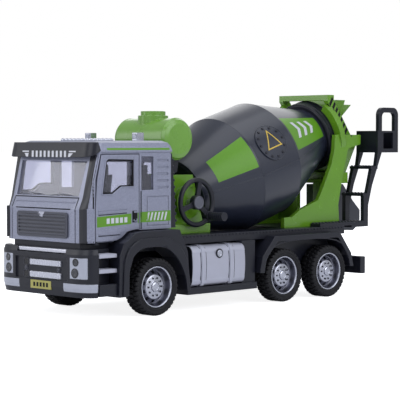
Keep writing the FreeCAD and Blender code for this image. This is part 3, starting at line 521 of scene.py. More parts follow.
for axle_name in ("front", "middle", "rear"):
    low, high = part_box(axle_name + "_axle")
    centre = (low + high) / 2
    tyre_meshes, rim_meshes = [], []
    for side in (1, -1):
        sideways = Matrix.Translation(centre) @ to_side(side)
        carcass = turned("carcass", TYRE_PROFILE, 108, rubber)
        carcass.transform(sideways)
        tyre_meshes.append(carcass)
        for outline, shift in ((SHOULDER_LUG, 0.0), (MIDDLE_LUG, 0.5), (INNER_LUG, 0.0)):
            first = sideways @ Matrix.Rotation(math.tau * shift / LUGS, 4, "Z")
            tyre_meshes.append(repeated(lug(outline), LUGS, turn=math.tau / LUGS, place=first))
        rim = dished_rim()
        rim.transform(sideways)
        rim_meshes.append(rim)
        nut = upright(slab("nut", NUT, 0.5, 0.07, plated_dark))
        nut.transform(Matrix.Translation(Vector((0, 0, 27.35 * MM))))
        rim_meshes.append(repeated(nut, 10, turn=math.tau / 10, place=sideways))
    body = axle_name + "_wheelset"
    fit(axle_name + "_tyres_treaded", tyre_meshes, body, [axle_name + "_tyres"], smooth=35)
    fit(axle_name + "_rims_dished", rim_meshes, body, [axle_name + "_rims"], smooth=35)
    dress(steel, axle_name + "_axle")


# Wheel arches, rear mudguards and cab steps: black plastic, pushed up under the cab and deck.
# Each arch has a rolled lip along its edge, and the steps carry silver treads with anti-slip ribs.
def bead(name, paths, radius, finish):
    """Round moulded beads along open or closed lines of points in metres, as a mesh."""
    line = bpy.data.curves.new(name, "CURVE")
    line.dimensions = "3D"
    line.bevel_depth, line.bevel_resolution, line.use_fill_caps = radius * MM, 2, True
    for points, closed in paths:
        run = line.splines.new("POLY")
        run.points.add(len(points) - 1)
        for knot, point in zip(run.points, points):
            knot.co = (*point, 1)
        run.use_cyclic_u = closed
    holder = keep_object(name, line)
    graph = bpy.context.evaluated_depsgraph_get()
    mesh = bpy.data.meshes.new_from_object(holder.evaluated_get(graph), depsgraph=graph)
    bpy.data.objects.remove(holder)
    mesh.materials.clear()
    mesh.materials.append(finish)
    return mesh


def eased(points, closed=False, rounds=3):
    """Cuts the corners of a line of points until it runs smoothly."""
    for _ in range(rounds):
        ends = list(zip(points, points[1:] + points[:1] if closed else points[1:]))
        cut = [] if closed else [points[0]]
        for first, second in ends:
            cut += [first.lerp(second, 0.25), first.lerp(second, 0.75)]
        points = cut if closed else cut + [points[-1]]
    return points


def hoop_line(centre_at, radius, normal, count=72):
    """Points of a circle about a centre and a normal, in metres."""
    normal = normal.normalized()
    first = normal.orthogonal().normalized()
    second = normal.cross(first)
    points = []
    for i in range(count):
        angle = math.tau * i / count
        points.append(centre_at + (first * math.cos(angle) + second * math.sin(angle)) * radius * MM)
    return points


ARCH_LIP = [(16.9, 8.8), (16.4, 21.4), (13.9, 26.5), (8.9, 29.4), (-4.6, 29.7), (-11.6, 26.6), (-15.6, 21.0),
            (-17.6, 8.8)]
ARCH_MOUTH = [(14.9, 8.6), (14.7, 17.5), (12.7, 23.3), (8.1, 26.6), (-4.7, 26.6), (-11.1, 21.8),
              (-15.3, 14.7), (-16.2, 8.8)]
GUARD_EDGE = [(-57.5, 13.1), (-59.0, 19.2), (-66.3, 27.0), (-107.1, 27.0), (-114.4, 18.2), (-116.0, 12.7)]
GUARD_MOUTH = [(-59.3, 12.9), (-60.6, 18.5), (-67.4, 25.5), (-106.4, 25.5), (-113.2, 17.3), (-114.6, 12.6)]
arch_lines = []
for side in (1, -1):
    for outline, out in ((ARCH_LIP, 28.5), (ARCH_MOUTH, 28.5), (GUARD_EDGE, 28.52), (GUARD_MOUTH, 28.52)):
        arch_lines.append((eased([at(x, side * out, z) for x, z in outline], rounds=2), False))
fit("arch_lips", [bead("arch_lips", arch_lines, 0.34, satin_black)], "chassis", smooth=50)
dress(satin_black, "front_arches", "rear_mudguards", "step_boxes")


def silver_finish(name):
    """Satin silver paint."""
    return finish_of(name, (0.47, 0.48, 0.57), (0.66, 0.67, 0.74), metallic=0.5, mottle=0.06, roughness=0.36,
                     roughness_spread=0.1, edge_wear=0.35, edge_radius=0.0003)


silver_paint = silver_finish("silver_paint")
dress(silver_paint, "step_treads")
TREAD_RIB = [(-0.12, -0.1), (0.12, -0.1), (0.12, 0.12), (-0.12, 0.12)]
tread_ribs = []
for side in (1, -1):
    for height in (24.6, 19.0):
        rib = slab("tread_rib", TREAD_RIB, 7.6, 0.04, silver_paint)
        tread_ribs.append(repeated(rib, 6, (0, side * 0.75, 0), 0,
                                   Matrix.Translation(at(23.3, side * 22.9, height))))
fit("step_ribs", tread_ribs, "chassis")


# Fuel tanks: silver plastic boxes with a crowned face, each held by two strap bands and closed
# by a plated filler cap with a pressed ring. They clip to the side boxes under the deck.
tank_silver = masked(silver_finish("tank_silver"), [("X", "GREATER_THAN", FRONT_AXLE_X - 19.0 * MM)],
                     (0.010, 0.011, 0.016))
dress(tank_silver, "fuel_tanks")
TANK_FACE = [(20.8, 9.35), (25.6, 9.35), (27.5, 10.2), (28.25, 12.3), (28.62, 17.45), (28.25, 22.6),
             (27.5, 24.7), (25.6, 25.55), (20.8, 25.55)]
CAP_PROFILE = [(0, 0.0), (1.3, 0.0), (1.4, 0.15), (1.4, 0.42), (1.25, 0.56), (1.0, 0.56), (0.9, 0.45),
               (0.0, 0.45)]
strap_lines, strap_shade_lines, cap_shade_rings = [], [], []
cap_meshes = []
for side in (1, -1):
    for station in (-25.0, -40.8):
        for edge in (-1.15, 1.15):
            strap_lines.append(([at(station + edge, side * y, z) for y, z in TANK_FACE], False))
        # Black beads along both sides of each strap are painted shade in the gaps beside the straps.
        for edge in (-1.5, 1.5):
            strap_shade_lines.append(([at(station + edge, side * (y - 0.1), z) for y, z in TANK_FACE], False))
    cap = turned("tank_cap", CAP_PROFILE, 40, plated)
    cap.transform(Matrix.Translation(at(-33.8, side * 28.29, 22.1)) @ to_side(side))
    cap_meshes.append(cap)
    # A black ring round each filler cap is painted shade of the socket it sits in.
    cap_shade_rings.append((hoop_line(at(-33.8, side * 28.45, 22.1), 1.62, Vector((0, 1, 0)), 40), True))
fit("tank_strap_gaps", [bead("gap", strap_shade_lines, 0.15, satin_black)], "chassis", smooth=50)
fit("tank_cap_sockets", [bead("socket", cap_shade_rings, 0.3, satin_black)], "chassis", smooth=50)
fit("tank_strap_beads", [bead("strap", strap_lines, 0.16, silver_paint)], "chassis", smooth=50)
fit("tank_filler_caps", cap_meshes, "chassis", ["tank_caps"], smooth=35)


# Front bumper: a black moulding with a bright bar in its top recess, two ribbed bright panels
# between bolt heads, square vents, twin headlamps, corner lamps and a plain yellow plate.
dress(satin_black, "front_bumper")
bright = finish_of("bright_trim", (0.66, 0.67, 0.75), (0.85, 0.86, 0.9), metallic=0.6, mottle=0.04,
                   roughness=0.22, edge_wear=0.2)
dress(bright, "bumper_trim")
gloss_black = finish_of("gloss_black", (0.006, 0.006, 0.008), (0.03, 0.03, 0.035), mottle=0.1,
                        roughness=0.3, edge_wear=0.2)
plate_yellow = finish_of("plate_yellow", (0.40, 0.37, 0.10), (0.2, 0.17, 0.03), mottle=0.2,
                         roughness=0.4, edge_wear=0.3)
dress(plate_yellow, "number_plate")
PANEL_HEIGHTS, VENT_Y = (20.65, 16.0), -9.3
BRIGHT_RIB = [(-0.28, -1.0), (0.28, -1.0), (0.28, 1.0), (-0.28, 1.0)]
panel_ribs = []
for height in PANEL_HEIGHTS:
    rib = slab("panel_rib", BRIGHT_RIB, 0.3, 0.08, bright)
    panel_ribs.append(repeated(rib, 18, (0, 1.03, 0), 0, Matrix.Translation(at(33.25, -6.45, height))))
fit("bumper_panel_ribs", panel_ribs, "chassis")
trim_grey = finish_of("trim_grey", (0.060, 0.063, 0.085), (0.2, 0.2, 0.23), mottle=0.1, roughness=0.32,
                      edge_wear=0.4)
BOLT_HEAD = [(0, 0.0), (1.0, 0.0), (1.0, 0.2), (0.85, 0.25), (0.75, 0.1), (0.7, 0.1), (0.7, 0.45), (0.5, 0.6),
             (0.3, 0.6), (0.25, 0.4), (0.0, 0.4)]
facing_front = Matrix.Rotation(math.radians(90), 4, "Y")
bolts = []
for y in (-9.4, 9.9):
    bolt = turned("bumper_bolt", BOLT_HEAD, 24, trim_grey)
    bolt.transform(Matrix.Translation(at(32.72, y, 18.3)) @ facing_front)
    bolts.append(bolt)
fit("bumper_bolts", bolts, "chassis", smooth=35)
VENT = [(-1.3, -1.1), (1.3, -1.1), (1.3, 1.1), (-1.3, 1.1)]
VENT_RIM = [(-1.4, -1.2), (1.4, -1.2), (1.4, 1.2), (-1.4, 1.2)]
vents = []
for height in PANEL_HEIGHTS:
    vent = slab("vent", VENT, 0.16, 0.04, gloss_black)
    vent.transform(Matrix.Translation(at(32.76, VENT_Y, height)))
    vents.append(vent)
    vent_rim = [at(32.9, VENT_Y + y, height + z) for y, z in VENT_RIM]
    vents.append(bead("vent_rim", [(vent_rim, True)], 0.14, trim_grey))
fit("bumper_vents", vents, "chassis")
PLATE_RIM = [(-5.8, 11.0), (5.8, 11.0), (5.8, 13.6), (-5.8, 13.6)]
plate_line = [([at(33.38, y, z) for y, z in PLATE_RIM], True)]
fit("plate_rim", [bead("plate_rim", plate_line, 0.1, gloss_black)], "chassis", smooth=50)

lamp_silver = finish_of("lamp_silver", (0.42, 0.44, 0.52), (0.6, 0.6, 0.68), metallic=0.4, coat=0.4,
                        mottle=0.08, roughness=0.22, edge_wear=0.2)
lamp_bowl = finish_of("lamp_bowl", (0.030, 0.032, 0.042), (0.2, 0.2, 0.22), metallic=0.5, coat=0.8,
                      mottle=0.3, roughness=0.2, edge_wear=0.2)
dress(lamp_silver, "headlamps", "corner_lamps")


def surface_of(*names):
    """The CAD nodes' own surface, to lay prints and strips on."""
    places, faces = [], []
    for name in names:
        mesh = frame["nodes"][name].data
        shift = len(places)
        places += [corner.co.copy() for corner in mesh.vertices]
        faces += [[shift + corner for corner in face.vertices] for face in mesh.polygons]
    return BVHTree.FromPolygons(places, faces)


def from_side(side):
    """Reads (forward, up) millimetres as a ray that comes in from that side of the truck."""
    return lambda u, v: (at(u, side * 60, v), Vector((0, -side, 0)))


def from_front(u, v):
    """Reads (left, up) millimetres as a ray that comes in from ahead."""
    return at(80, u, v), Vector((-1, 0, 0))


def facing(place, way):
    """The turn and place that set a piece made along Z on a spot, pointing along a direction."""
    return Matrix.Translation(place) @ way.to_track_quat("Z", "Y").to_matrix().to_4x4()


LAMPS = [(20.1, 21.7, 1.15), (19.7, 17.7, 1.5)]
lamp_surface = surface_of("headlamps")
lamp_rings, lamp_bowls = [], []
for side in (1, -1):
    for y, z, radius in LAMPS:
        start, way = from_front(side * y, z)
        place, normal, _, _ = lamp_surface.ray_cast(start, way)
        seat_place = facing(place, normal if normal.x > 0 else -normal)
        rim_outline = [(radius, 0.0), (radius + 0.35, 0.0), (radius + 0.35, 0.03), (radius + 0.2, 0.06),
                       (radius, 0.03)]
        bowl_outline = [(0, 0.0), (radius, 0.0), (radius, 0.03), (radius * 0.7, 0.06), (radius * 0.45, 0.02),
                        (0.0, 0.06)]
        ring = turned("lamp_ring", rim_outline, 32, gloss_black)
        bowl = turned("lamp_bowl", bowl_outline, 32, lamp_bowl)
        for mesh in (ring, bowl):
            mesh.transform(seat_place)
        lamp_rings.append(ring)
        lamp_bowls.append(bowl)
fit("headlamp_rings", lamp_rings, "chassis", smooth=35)
fit("headlamp_bowls", lamp_bowls, "chassis", smooth=35)


# Cab: a zinc casting in grey metallic paint, with a bonnet seam, pressed creases, louvres and a
# locker outline; the bonnet seam and fold are black strips of painted shade. The windscreen pillars are left
# black, as on the real toy, and the black band runs on down the rounded front corners below the bonnet line
# as a painted dark reflection.
def flake_paint(name):
    """Grey metallic paint with fine flakes."""
    made = finish_of(name, (0.27, 0.285, 0.375), (0.46, 0.475, 0.56), metallic=0.5, coat=0.25, mottle=0.04,
                     mottle_scale=150.0, roughness=0.42, roughness_spread=0.08, edge_wear=0.55,
                     edge_radius=0.00035, bump=0.1)
    nodes, links = made.node_tree.nodes, made.node_tree.links
    shader, skin = nodes["Principled BSDF"], nodes["skin"]
    where = nodes.new("ShaderNodeTexCoord")
    flakes = nodes.new("ShaderNodeTexVoronoi")
    flakes.inputs["Scale"].default_value = 5200.0
    links.new(where.outputs["Object"], flakes.inputs["Vector"])
    spark = nodes.new("ShaderNodeMapRange")
    spark.inputs["To Min"].default_value = 0.84
    spark.inputs["To Max"].default_value = 1.20
    split = nodes.new("ShaderNodeSeparateColor")
    links.new(flakes.outputs["Color"], split.inputs["Color"])
    links.new(split.outputs["Red"], spark.inputs["Value"])
    glitter = nodes.new("ShaderNodeVectorMath")
    glitter.operation = "SCALE"
    links.new(skin.outputs["Colour"], glitter.inputs[0])
    links.new(spark.outputs["Result"], glitter.inputs["Scale"])
    links.new(glitter.outputs["Vector"], shader.inputs["Base Color"])
    return made


door_paint = flake_paint("door_paint")
# Black band on the cab's front corners: black plastic at the windscreen pillars, and below the bonnet line a
# painted dark reflection on the rounded corner.
PILLAR_AND_CORNER_REFLECTION = [("X", "GREATER_THAN", FRONT_AXLE_X + 24.6 * MM), ("Y", "GREATER_THAN", 20.6 * MM),
          ("Y", "LESS_THAN", 23.3 * MM)]
cab_paint = masked(flake_paint("cab_paint"), PILLAR_AND_CORNER_REFLECTION, (0.010, 0.011, 0.018))
VANE_FRONT = [("X", "GREATER_THAN", FRONT_AXLE_X + 30.75 * MM)]
vane_paint = masked(flake_paint("vane_paint"), VANE_FRONT, (0.010, 0.011, 0.018))
dress(cab_paint, "cab_shell")
dress(vane_paint, "corner_vanes")
dress(door_paint, "cab_roof", "door_left", "door_right")


def laid(name, patches, ray, surface, finish, lift=0.03, steps=(6, 6)):
    """Four-cornered patches divided and laid on a surface, a hair above it."""
    form = bmesh.new()
    for a, b, c, d in patches:
        rows = []
        for i in range(steps[0] + 1):
            row = []
            for j in range(steps[1] + 1):
                s, t = i / steps[0], j / steps[1]
                u, v = (a[k] * (1 - s) * (1 - t) + b[k] * s * (1 - t) + c[k] * s * t + d[k] * (1 - s) * t
                        for k in (0, 1))
                start, way = ray(u, v)
                place, normal, _, _ = surface.ray_cast(start, way)
                if place is None:
                    row.append(None)
                    continue
                if normal.dot(way) > 0:
                    normal = -normal
                row.append(form.verts.new(place + normal * lift * MM))
            rows.append(row)
        for i in range(steps[0]):
            for j in range(steps[1]):
                corners = (rows[i][j], rows[i + 1][j], rows[i + 1][j + 1], rows[i][j + 1])
                if None in corners:
                    continue
                face = form.faces.new(corners)
                face.normal_update()
                if face.normal.dot(way) > 0:
                    face.normal_flip()
    mesh = bpy.data.meshes.new(name)
    form.to_mesh(mesh)
    form.free()
    mesh.materials.append(finish)
    return mesh


def strip(points, width, closed=False):
    """Patches of one width along a line of flat points, mitred where it bends."""
    count = len(points)
    offsets = []
    for i, point in enumerate(points):
        before = points[i - 1] if (i or closed) else None
        after = points[(i + 1) % count] if (i < count - 1 or closed) else None
        ways = []
        for first, second in ((before, point), (point, after)):
            if first and second:
                ways.append(Vector((second[0] - first[0], second[1] - first[1])).normalized())
        if len(ways) == 2:
            middle_way = (ways[0] + ways[1]).normalized()
            stretch = 1 / max(0.4, middle_way.dot(ways[0]))
        else:
            middle_way, stretch = ways[0], 1.0
        across = Vector((-middle_way.y, middle_way.x)) * width / 2 * stretch
        offsets.append(((point[0] + across.x, point[1] + across.y),
                        (point[0] - across.x, point[1] - across.y)))
    legs = zip(offsets, offsets[1:] + offsets[:1] if closed else offsets[1:])
    return [(first[0], second[0], second[1], first[1]) for first, second in legs]


# Flat black: painted shade in the door and bonnet gaps, under the door creases and round the door handles,
# and the real black of the window seals, plate blocks and hoop bars.
painted_shade_seal_and_print_black = finish_of("painted_shade_seal_and_print_black", (0.004, 0.004, 0.006), (0.01, 0.01, 0.012), mottle=0.1, roughness=0.5,
                       edge_wear=0.0, specular=0.2)
# Black strips laid along the door edges, round the bonnet and across the bonnet fold are painted shade in the
# gaps and the groove.
DOOR_EDGE = [(5.0, 61.65), (24.45, 61.65), (26.85, 52), (27.25, 41.4), (27.15, 29.0)]
DOOR_BACK = [(5.0, 61.65), (5.0, 33.0)]
cab_surface = surface_of("cab_shell")
shut_line_shades = []
for side in (1, -1):
    for points, shift in ((DOOR_EDGE, 0.5), (DOOR_BACK, -0.5)):
        moved = [(x + shift, z + 0.25 if z > 60 else z) for x, z in points]
        shut_line_shades.append(laid("door_seam_shade", strip(moved, 1.1), from_side(side), cab_surface, painted_shade_seal_and_print_black,
                          steps=(8, 2)))
BONNET = [(-18.75, 28.9), (-18.75, 45.3), (18.75, 45.3), (18.75, 28.9)]
shut_line_shades.append(laid("bonnet_seam_shade", strip(BONNET, 0.42), from_front, cab_surface, painted_shade_seal_and_print_black, steps=(16, 2)))
FOLD_SHADE = [(-16.2, 41.1), (16.2, 41.1)]
shut_line_shades.append(laid("bonnet_fold_shade", strip(FOLD_SHADE, 0.4), from_front, cab_surface, painted_shade_seal_and_print_black, steps=(10, 2)))
fit("cab_seams", shut_line_shades, "chassis")

front_creases = [([at(31.35, y, 43.6) for y in (-17.5, 17.5)], False)]
fit("bonnet_crease", [bead("crease", front_creases, 0.22, door_paint)], "chassis", smooth=50)


# Cab doors: painted castings on hidden hinge pins, each with a stepped window line, two pressed
# creases with painted shadow strips under them, a silver handle bar on a black patch of painted recess shade,
# and a smoked window with a black seal.
def near_corners(points, reach=0.9 * MM):
    """Adds a point shortly before and after every corner, so that easing rounds only the corner."""
    made = []
    for i, corner in enumerate(points):
        before, after = points[i - 1], points[(i + 1) % len(points)]
        made += [corner + (before - corner).normalized() * reach, corner,
                 corner + (after - corner).normalized() * reach]
    return made


DOOR_WINDOW = [(23.9, 46.4), (22.0, 59.1), (20.7, 59.9), (7.8, 59.6), (7.8, 49.1), (14.5, 49.1), (18.8, 46.4)]
WINDOW_MIDDLE_X, WINDOW_MIDDLE_Z, SEAL_WIDE, SEAL_HIGH = 15.6, 53.2, 0.94, 0.93
CREASES = [((25.6, 40.6), (11.5, 40.9)), ((25.6, 39.4), (11.5, 39.8)), ((25.6, 31.6), (14.8, 31.8))]
CREASE_DROP = 0.5
for side, name, body in ((1, "door_left", "left_door"), (-1, "door_right", "right_door")):
    skin_surface = surface_of(name)
    face_y = side * 24.15
    frame_line = eased(near_corners([at(x, face_y, z) for x, z in DOOR_WINDOW]), closed=True, rounds=1)
    creases = [([at(x, face_y, z) for x, z in run], False) for run in CREASES]
    fit(name + "_creases", [bead("crease", creases, 0.26, door_paint)], body, smooth=50)
    # Black strips just under the two lower creases are painted shadow.
    crease_shadow_strips = [strip([(x, z - CREASE_DROP) for x, z in run], 0.3)[0] for run in CREASES[1:]]
    shadows = laid("crease_shadow", crease_shadow_strips, from_side(side), skin_surface, painted_shade_seal_and_print_black, steps=(12, 2))
    fit(name + "_crease_shadows", [shadows], body)
    fit(name + "_window_frame", [bead("window_frame", [(frame_line, True)], 0.32, door_paint)], body,
        smooth=60)
    seal_points = [at(WINDOW_MIDDLE_X + (x - WINDOW_MIDDLE_X) * SEAL_WIDE, side * 23.9,
                      WINDOW_MIDDLE_Z + (z - WINDOW_MIDDLE_Z) * SEAL_HIGH) for x, z in DOOR_WINDOW]
    inner_line = eased(near_corners(seal_points), closed=True, rounds=1)
    fit(name + "_window_seal", [bead("window_seal", [(inner_line, True)], 0.42, painted_shade_seal_and_print_black)], body,
        smooth=60)
    # The black patch behind each handle bar is painted shade standing in for a recess.
    handle_shade_patch = laid("handle_recess_shade", strip([(7.5, 35.7), (7.5, 40.1)], 2.4), from_side(side), skin_surface,
                  painted_shade_seal_and_print_black, steps=(6, 6))
    fit(name + "_handle_recess", [handle_shade_patch], body)
    grip_line = [at(7.9, side * 24.5, z) for z in (36.4, 39.5)]
    fit(name + "_handle_bar", [bead("handle_bar", [(grip_line, False)], 0.24, silver_paint)], body,
        smooth=60)


# Glazing: clear moulded plastic, a little milky, that shows the black seats and dashboard behind
# it. The windscreen carries two thin grey wipers moulded along its lower edge.
def clear_plastic(name, colour, transmission):
    """Tinted clear moulding with faint mould marks."""
    made = bpy.data.materials.new(name)
    made.use_nodes = True
    nodes, links = made.node_tree.nodes, made.node_tree.links
    shader = nodes["Principled BSDF"]
    where, haze = nodes.new("ShaderNodeTexCoord"), nodes.new("ShaderNodeTexNoise")
    haze.inputs["Scale"].default_value = 90.0
    links.new(where.outputs["Object"], haze.inputs["Vector"])
    milk = nodes.new("ShaderNodeValToRGB")
    milk.color_ramp.elements[0].color = (*(0.85 * part for part in colour), 1)
    milk.color_ramp.elements[1].color = (*colour, 1)
    links.new(haze.outputs["Fac"], milk.inputs["Fac"])
    links.new(milk.outputs["Color"], shader.inputs["Base Color"])
    marks = nodes.new("ShaderNodeMapRange")
    marks.inputs["To Min"].default_value = 0.015
    marks.inputs["To Max"].default_value = 0.05
    links.new(haze.outputs["Fac"], marks.inputs["Value"])
    links.new(marks.outputs["Result"], shader.inputs["Roughness"])
    shader.inputs["Transmission Weight"].default_value = transmission
    shader.inputs["IOR"].default_value = 1.5
    return made


screen_glass = clear_plastic("screen_glass", (0.76, 0.77, 0.90), 0.91)
side_glass = clear_plastic("side_glass", (0.72, 0.73, 0.84), 0.95)
dress(screen_glass, "windscreen")
dress(side_glass, "cab_glass", "door_glass_left", "door_glass_right")
hub_grey = finish_of("hub_grey", (0.10, 0.105, 0.135), (0.25, 0.25, 0.3), mottle=0.12, roughness=0.35,
                     edge_wear=0.3)
wiper_lines = [([at(30.3, y, 45.9), at(30.15, y + 5.5, 46.6), at(30.2, y + 11.5, 46.3)], False)
               for y in (-14.5, 2.0)]
fit("wipers", [bead("wipers", wiper_lines, 0.13, hub_grey)], "chassis", smooth=50)


# Cab inside and back wall: black plastic seats, dashboard and a ribbed rear panel, dropped in
# from above before the roof is pressed on.
cabin_plastic = finish_of("cabin_plastic", (0.035, 0.036, 0.046), (0.12, 0.12, 0.14), mottle=0.2,
                          roughness=0.5, edge_wear=0.3, bump=0.2)
dress(cabin_plastic, "seats", "dashboard")
dress(satin_black, "cab_back_panel")
PANEL_RIB = [(-3.4, -0.55), (3.4, -0.55), (3.4, 0.55), (-3.4, 0.55)]
rib_columns = []
for y in (-20.2, 20.2):
    panel_rib = slab("panel_rib", PANEL_RIB, 1.3, 0.2, satin_black)
    rib_columns.append(repeated(panel_rib, 10, (0.17, 0, 2.6), 0, Matrix.Translation(at(-14.6, y, 35.6))))
fit("rear_panel_ribs", rib_columns, "chassis")


# Grille and sun visor: mouldings pressed into the nose and over the screen. The grille has a silver
# pocket at its top, where the bonnet paint dips in, laid brighter than the paint as a painted highlight; the
# visor has white bars between two arrow tails, and the plate plain dark blocks.
dress(trim_grey, "grille")
dress(satin_black, "sun_visor")
print_white = finish_of("print_white", (0.62, 0.63, 0.68), (0.4, 0.4, 0.45), mottle=0.08, roughness=0.45,
                        edge_wear=0.0, mottle_scale=900.0)
visor_bars = []
for i in range(9):
    y = -9.6 + 2.4 * i
    visor_bars.append(((y, 60.3), (y + 1.2, 60.3), (y + 0.6, 62.7), (y - 0.6, 62.7)))
for end in (1, -1):
    visor_bars.append(((end * 11.9, 62.7), (end * 15.8, 62.7), (end * 15.8, 62.2), (end * 11.9, 62.2)))
    visor_bars.append(((end * 11.9, 61.8), (end * 14.4, 61.8), (end * 13.0, 60.4), (end * 11.9, 60.4)))
# Silver patch on the V where the bonnet paint dips into the grille, laid brighter than the paint as a painted
# highlight.
pocket_highlight_corners = [((-2.2, 39.8), (2.2, 39.8), (0.5, 37.7), (-0.5, 37.7))]
pocket_highlight_patch = laid("grille_pocket", pocket_highlight_corners, from_front, surface_of("grille"), silver_paint)
fit("grille_pocket", [pocket_highlight_patch], "chassis")
fit("visor_print", [laid("visor_print", visor_bars, from_front, surface_of("sun_visor"), print_white)],
    "chassis")
plate_blocks = []
for i in range(5):
    y = -4.4 + 1.9 * i
    plate_blocks.append(((y, 11.5), (y + 1.2, 11.5), (y + 1.2, 13.1), (y, 13.1)))
plate_surface = surface_of("number_plate")
block_patch = laid("plate_blocks", plate_blocks, from_front, plate_surface, painted_shade_seal_and_print_black, steps=(2, 2))
fit("plate_blocks", [block_patch], "chassis")


# Side decals: a green band with plain white blocks on each door and slanting slashes behind it,
# and a thin green line under the roof edge. All are printed on thin film.
print_green = finish_of("print_green", (0.105, 0.29, 0.008), (0.2, 0.4, 0.1), mottle=0.08, roughness=0.42,
                        coat=0.05, edge_wear=0.0, mottle_scale=900.0)
for side, name, body in ((1, "door_left", "left_door"), (-1, "door_right", "right_door")):
    door_surface = surface_of(name)
    band = [((26.3, 34.4), (9.2, 35.2), (9.2, 39.1), (26.3, 38.3)),
            ((6.0, 35.4), (5.5, 35.4), (5.5, 39.3), (6.0, 39.3))]
    blocks = []
    for i in range(5):
        x = 21.6 - 2.2 * i
        low = 35.6 + 0.05 * i
        blocks.append(((x, low), (x - 1.5, low + 0.05), (x - 1.5, low + 2.05), (x, low + 2.0)))
    band_patch = laid("band", band, from_side(side), door_surface, print_green)
    fit(name + "_band", [band_patch], body)
    block_patch = laid("blocks", blocks, from_side(side), door_surface, print_white, lift=0.06)
    fit(name + "_blocks", [block_patch], body)
rear_bands, slashes, roof_lines = [], [], []
roof_surface = surface_of("cab_roof")
for side in (1, -1):
    band = [((4.7, 35.5), (-11.2, 35.7), (-11.2, 39.7), (4.7, 39.5))]
    rear_bands.append(laid("rear_band", band, from_side(side), cab_surface, print_green, steps=(12, 4)))
    marks = []
    for i in range(6):
        x = 1.6 - 1.85 * i
        marks.append(((x, 36.1), (x - 0.85, 36.1), (x - 1.75, 39.2), (x - 0.9, 39.2)))
    slashes.append(laid("slashes", marks, from_side(side), cab_surface, print_white, lift=0.07))
    line = [((21.5, 62.95), (-10.5, 62.95), (-10.5, 63.75), (21.5, 63.75))]
    roof_lines.append(laid("roof_line", line, from_side(side), roof_surface, print_green, steps=(16, 2)))
fit("cab_rear_band", rear_bands, "chassis")
fit("cab_rear_slashes", slashes, "chassis")
fit("roof_line", roof_lines, "chassis")


# Roof fittings: a plated lamp bar across the roof and two plated warning lamps behind it, all
# pressed into small sockets.
dress(plated, "roof_pods")
bar_line = [([at(10.5, y, 66.75) for y in (-15.1, 15.1)], False)]
LAMP_DOME = [(0, 0.0), (0.95, 0.0), (1.0, 0.3), (0.85, 0.75), (0.45, 0.98), (0.0, 1.05)]
lamp = turned("roof_lamp", LAMP_DOME, 24, plated)
lamp_row = repeated(lamp, 13, (0, 2.35, 0), 0, Matrix.Translation(at(10.5, -14.1, 66.5)))
fit("roof_lamp_bar", [bead("bar", bar_line, 0.42, plated), lamp_row], "chassis", ["roof_bar"],
    smooth=40)
lens = slab("pod_lens", [(-1.2, -0.9), (1.2, -0.9), (1.2, 0.9), (-1.2, 0.9)], 0.3, 0.12, lamp_silver)
pod_lenses = [repeated(lens, 2, (0, 27.9, 0), 0, Matrix.Translation(at(-1.65, -13.95, 68.2)))]
fit("roof_pod_lenses", pod_lenses, "chassis")


# Water tank: a hollow green barrel across the frame behind the cab, with a stepped filler cap,
# held by a black bracket that stands on the pedestal foot.
tank_green = finish_of("tank_green", (0.16, 0.36, 0.045), (0.35, 0.6, 0.15), mottle=0.05, roughness=0.28,
                       coat=0.4, edge_wear=0.35, edge_radius=0.0005)
dress(tank_green, "water_tank")
dress(satin_black, "tank_bracket")
BARREL_X, BARREL_Z, BARREL_R = -24.6, 67.2, 8.3
barrel_rings = [(hoop_line(at(BARREL_X, y, BARREL_Z), BARREL_R - 0.1, Vector((0, 1, 0))), True)
                for y in (-13.3, 13.3)]
barrel_rings += [(hoop_line(at(BARREL_X, 0, z), radius, Vector((0, 0, 1))), True)
                 for z, radius in ((76.4, 5.9), (78.15, 4.8))]
fit("water_tank_rims", [bead("barrel_rings", barrel_rings, 0.22, tank_green)], "chassis",
    smooth=60)


# Front pedestal and crank: a green moulding holds the drum's nose bearing and the crank shaft.
# Steel bevel gears join the two, and the black handwheel has a grey hub disc and a free grip.
frame_green = finish_of("frame_green", (0.130, 0.31, 0.014), (0.30, 0.52, 0.12), mottle=0.07, roughness=0.26,
                        roughness_spread=0.08, coat=0.3, edge_wear=0.45, edge_radius=0.0004)
dress(frame_green, "front_pedestal")
dress(steel, "crank_shaft", "crank_pinion", "drum_gear")
dress(satin_black, "handwheel", "grip_sleeve", "grip_pin")
wheel_low, wheel_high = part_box("handwheel")
wheel_hub = (wheel_low + wheel_high) / 2
HUB_DISC = [(0, 0), (2.5, 0.0), (2.6, 0.12), (2.45, 0.3), (2.1, 0.3), (2.0, 0.2), (0, 0.2)]
hub_disc = turned("hub_disc", HUB_DISC, 48, hub_grey)
hub_disc.transform(Matrix.Translation(Vector((wheel_hub.x, 19.85 * MM, wheel_hub.z))) @ to_side(1))
fit("handwheel_hub_disc", [hub_disc], "crank", smooth=35)
pin_low, pin_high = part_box("grip_pin")
grip_place = Vector(((pin_low.x + pin_high.x) / 2, 0, (pin_low.z + pin_high.z) / 2))
grip_rings = [(hoop_line(grip_place + Vector((0, y * MM, 0)), 1.62, Vector((0, 1, 0)), 32), True)
              for y in (21.0, 22.2, 23.4, 24.6, 25.8)]
fit("grip_rings", [bead("grip_rings", grip_rings, 0.2, satin_black)], "grip", smooth=60)


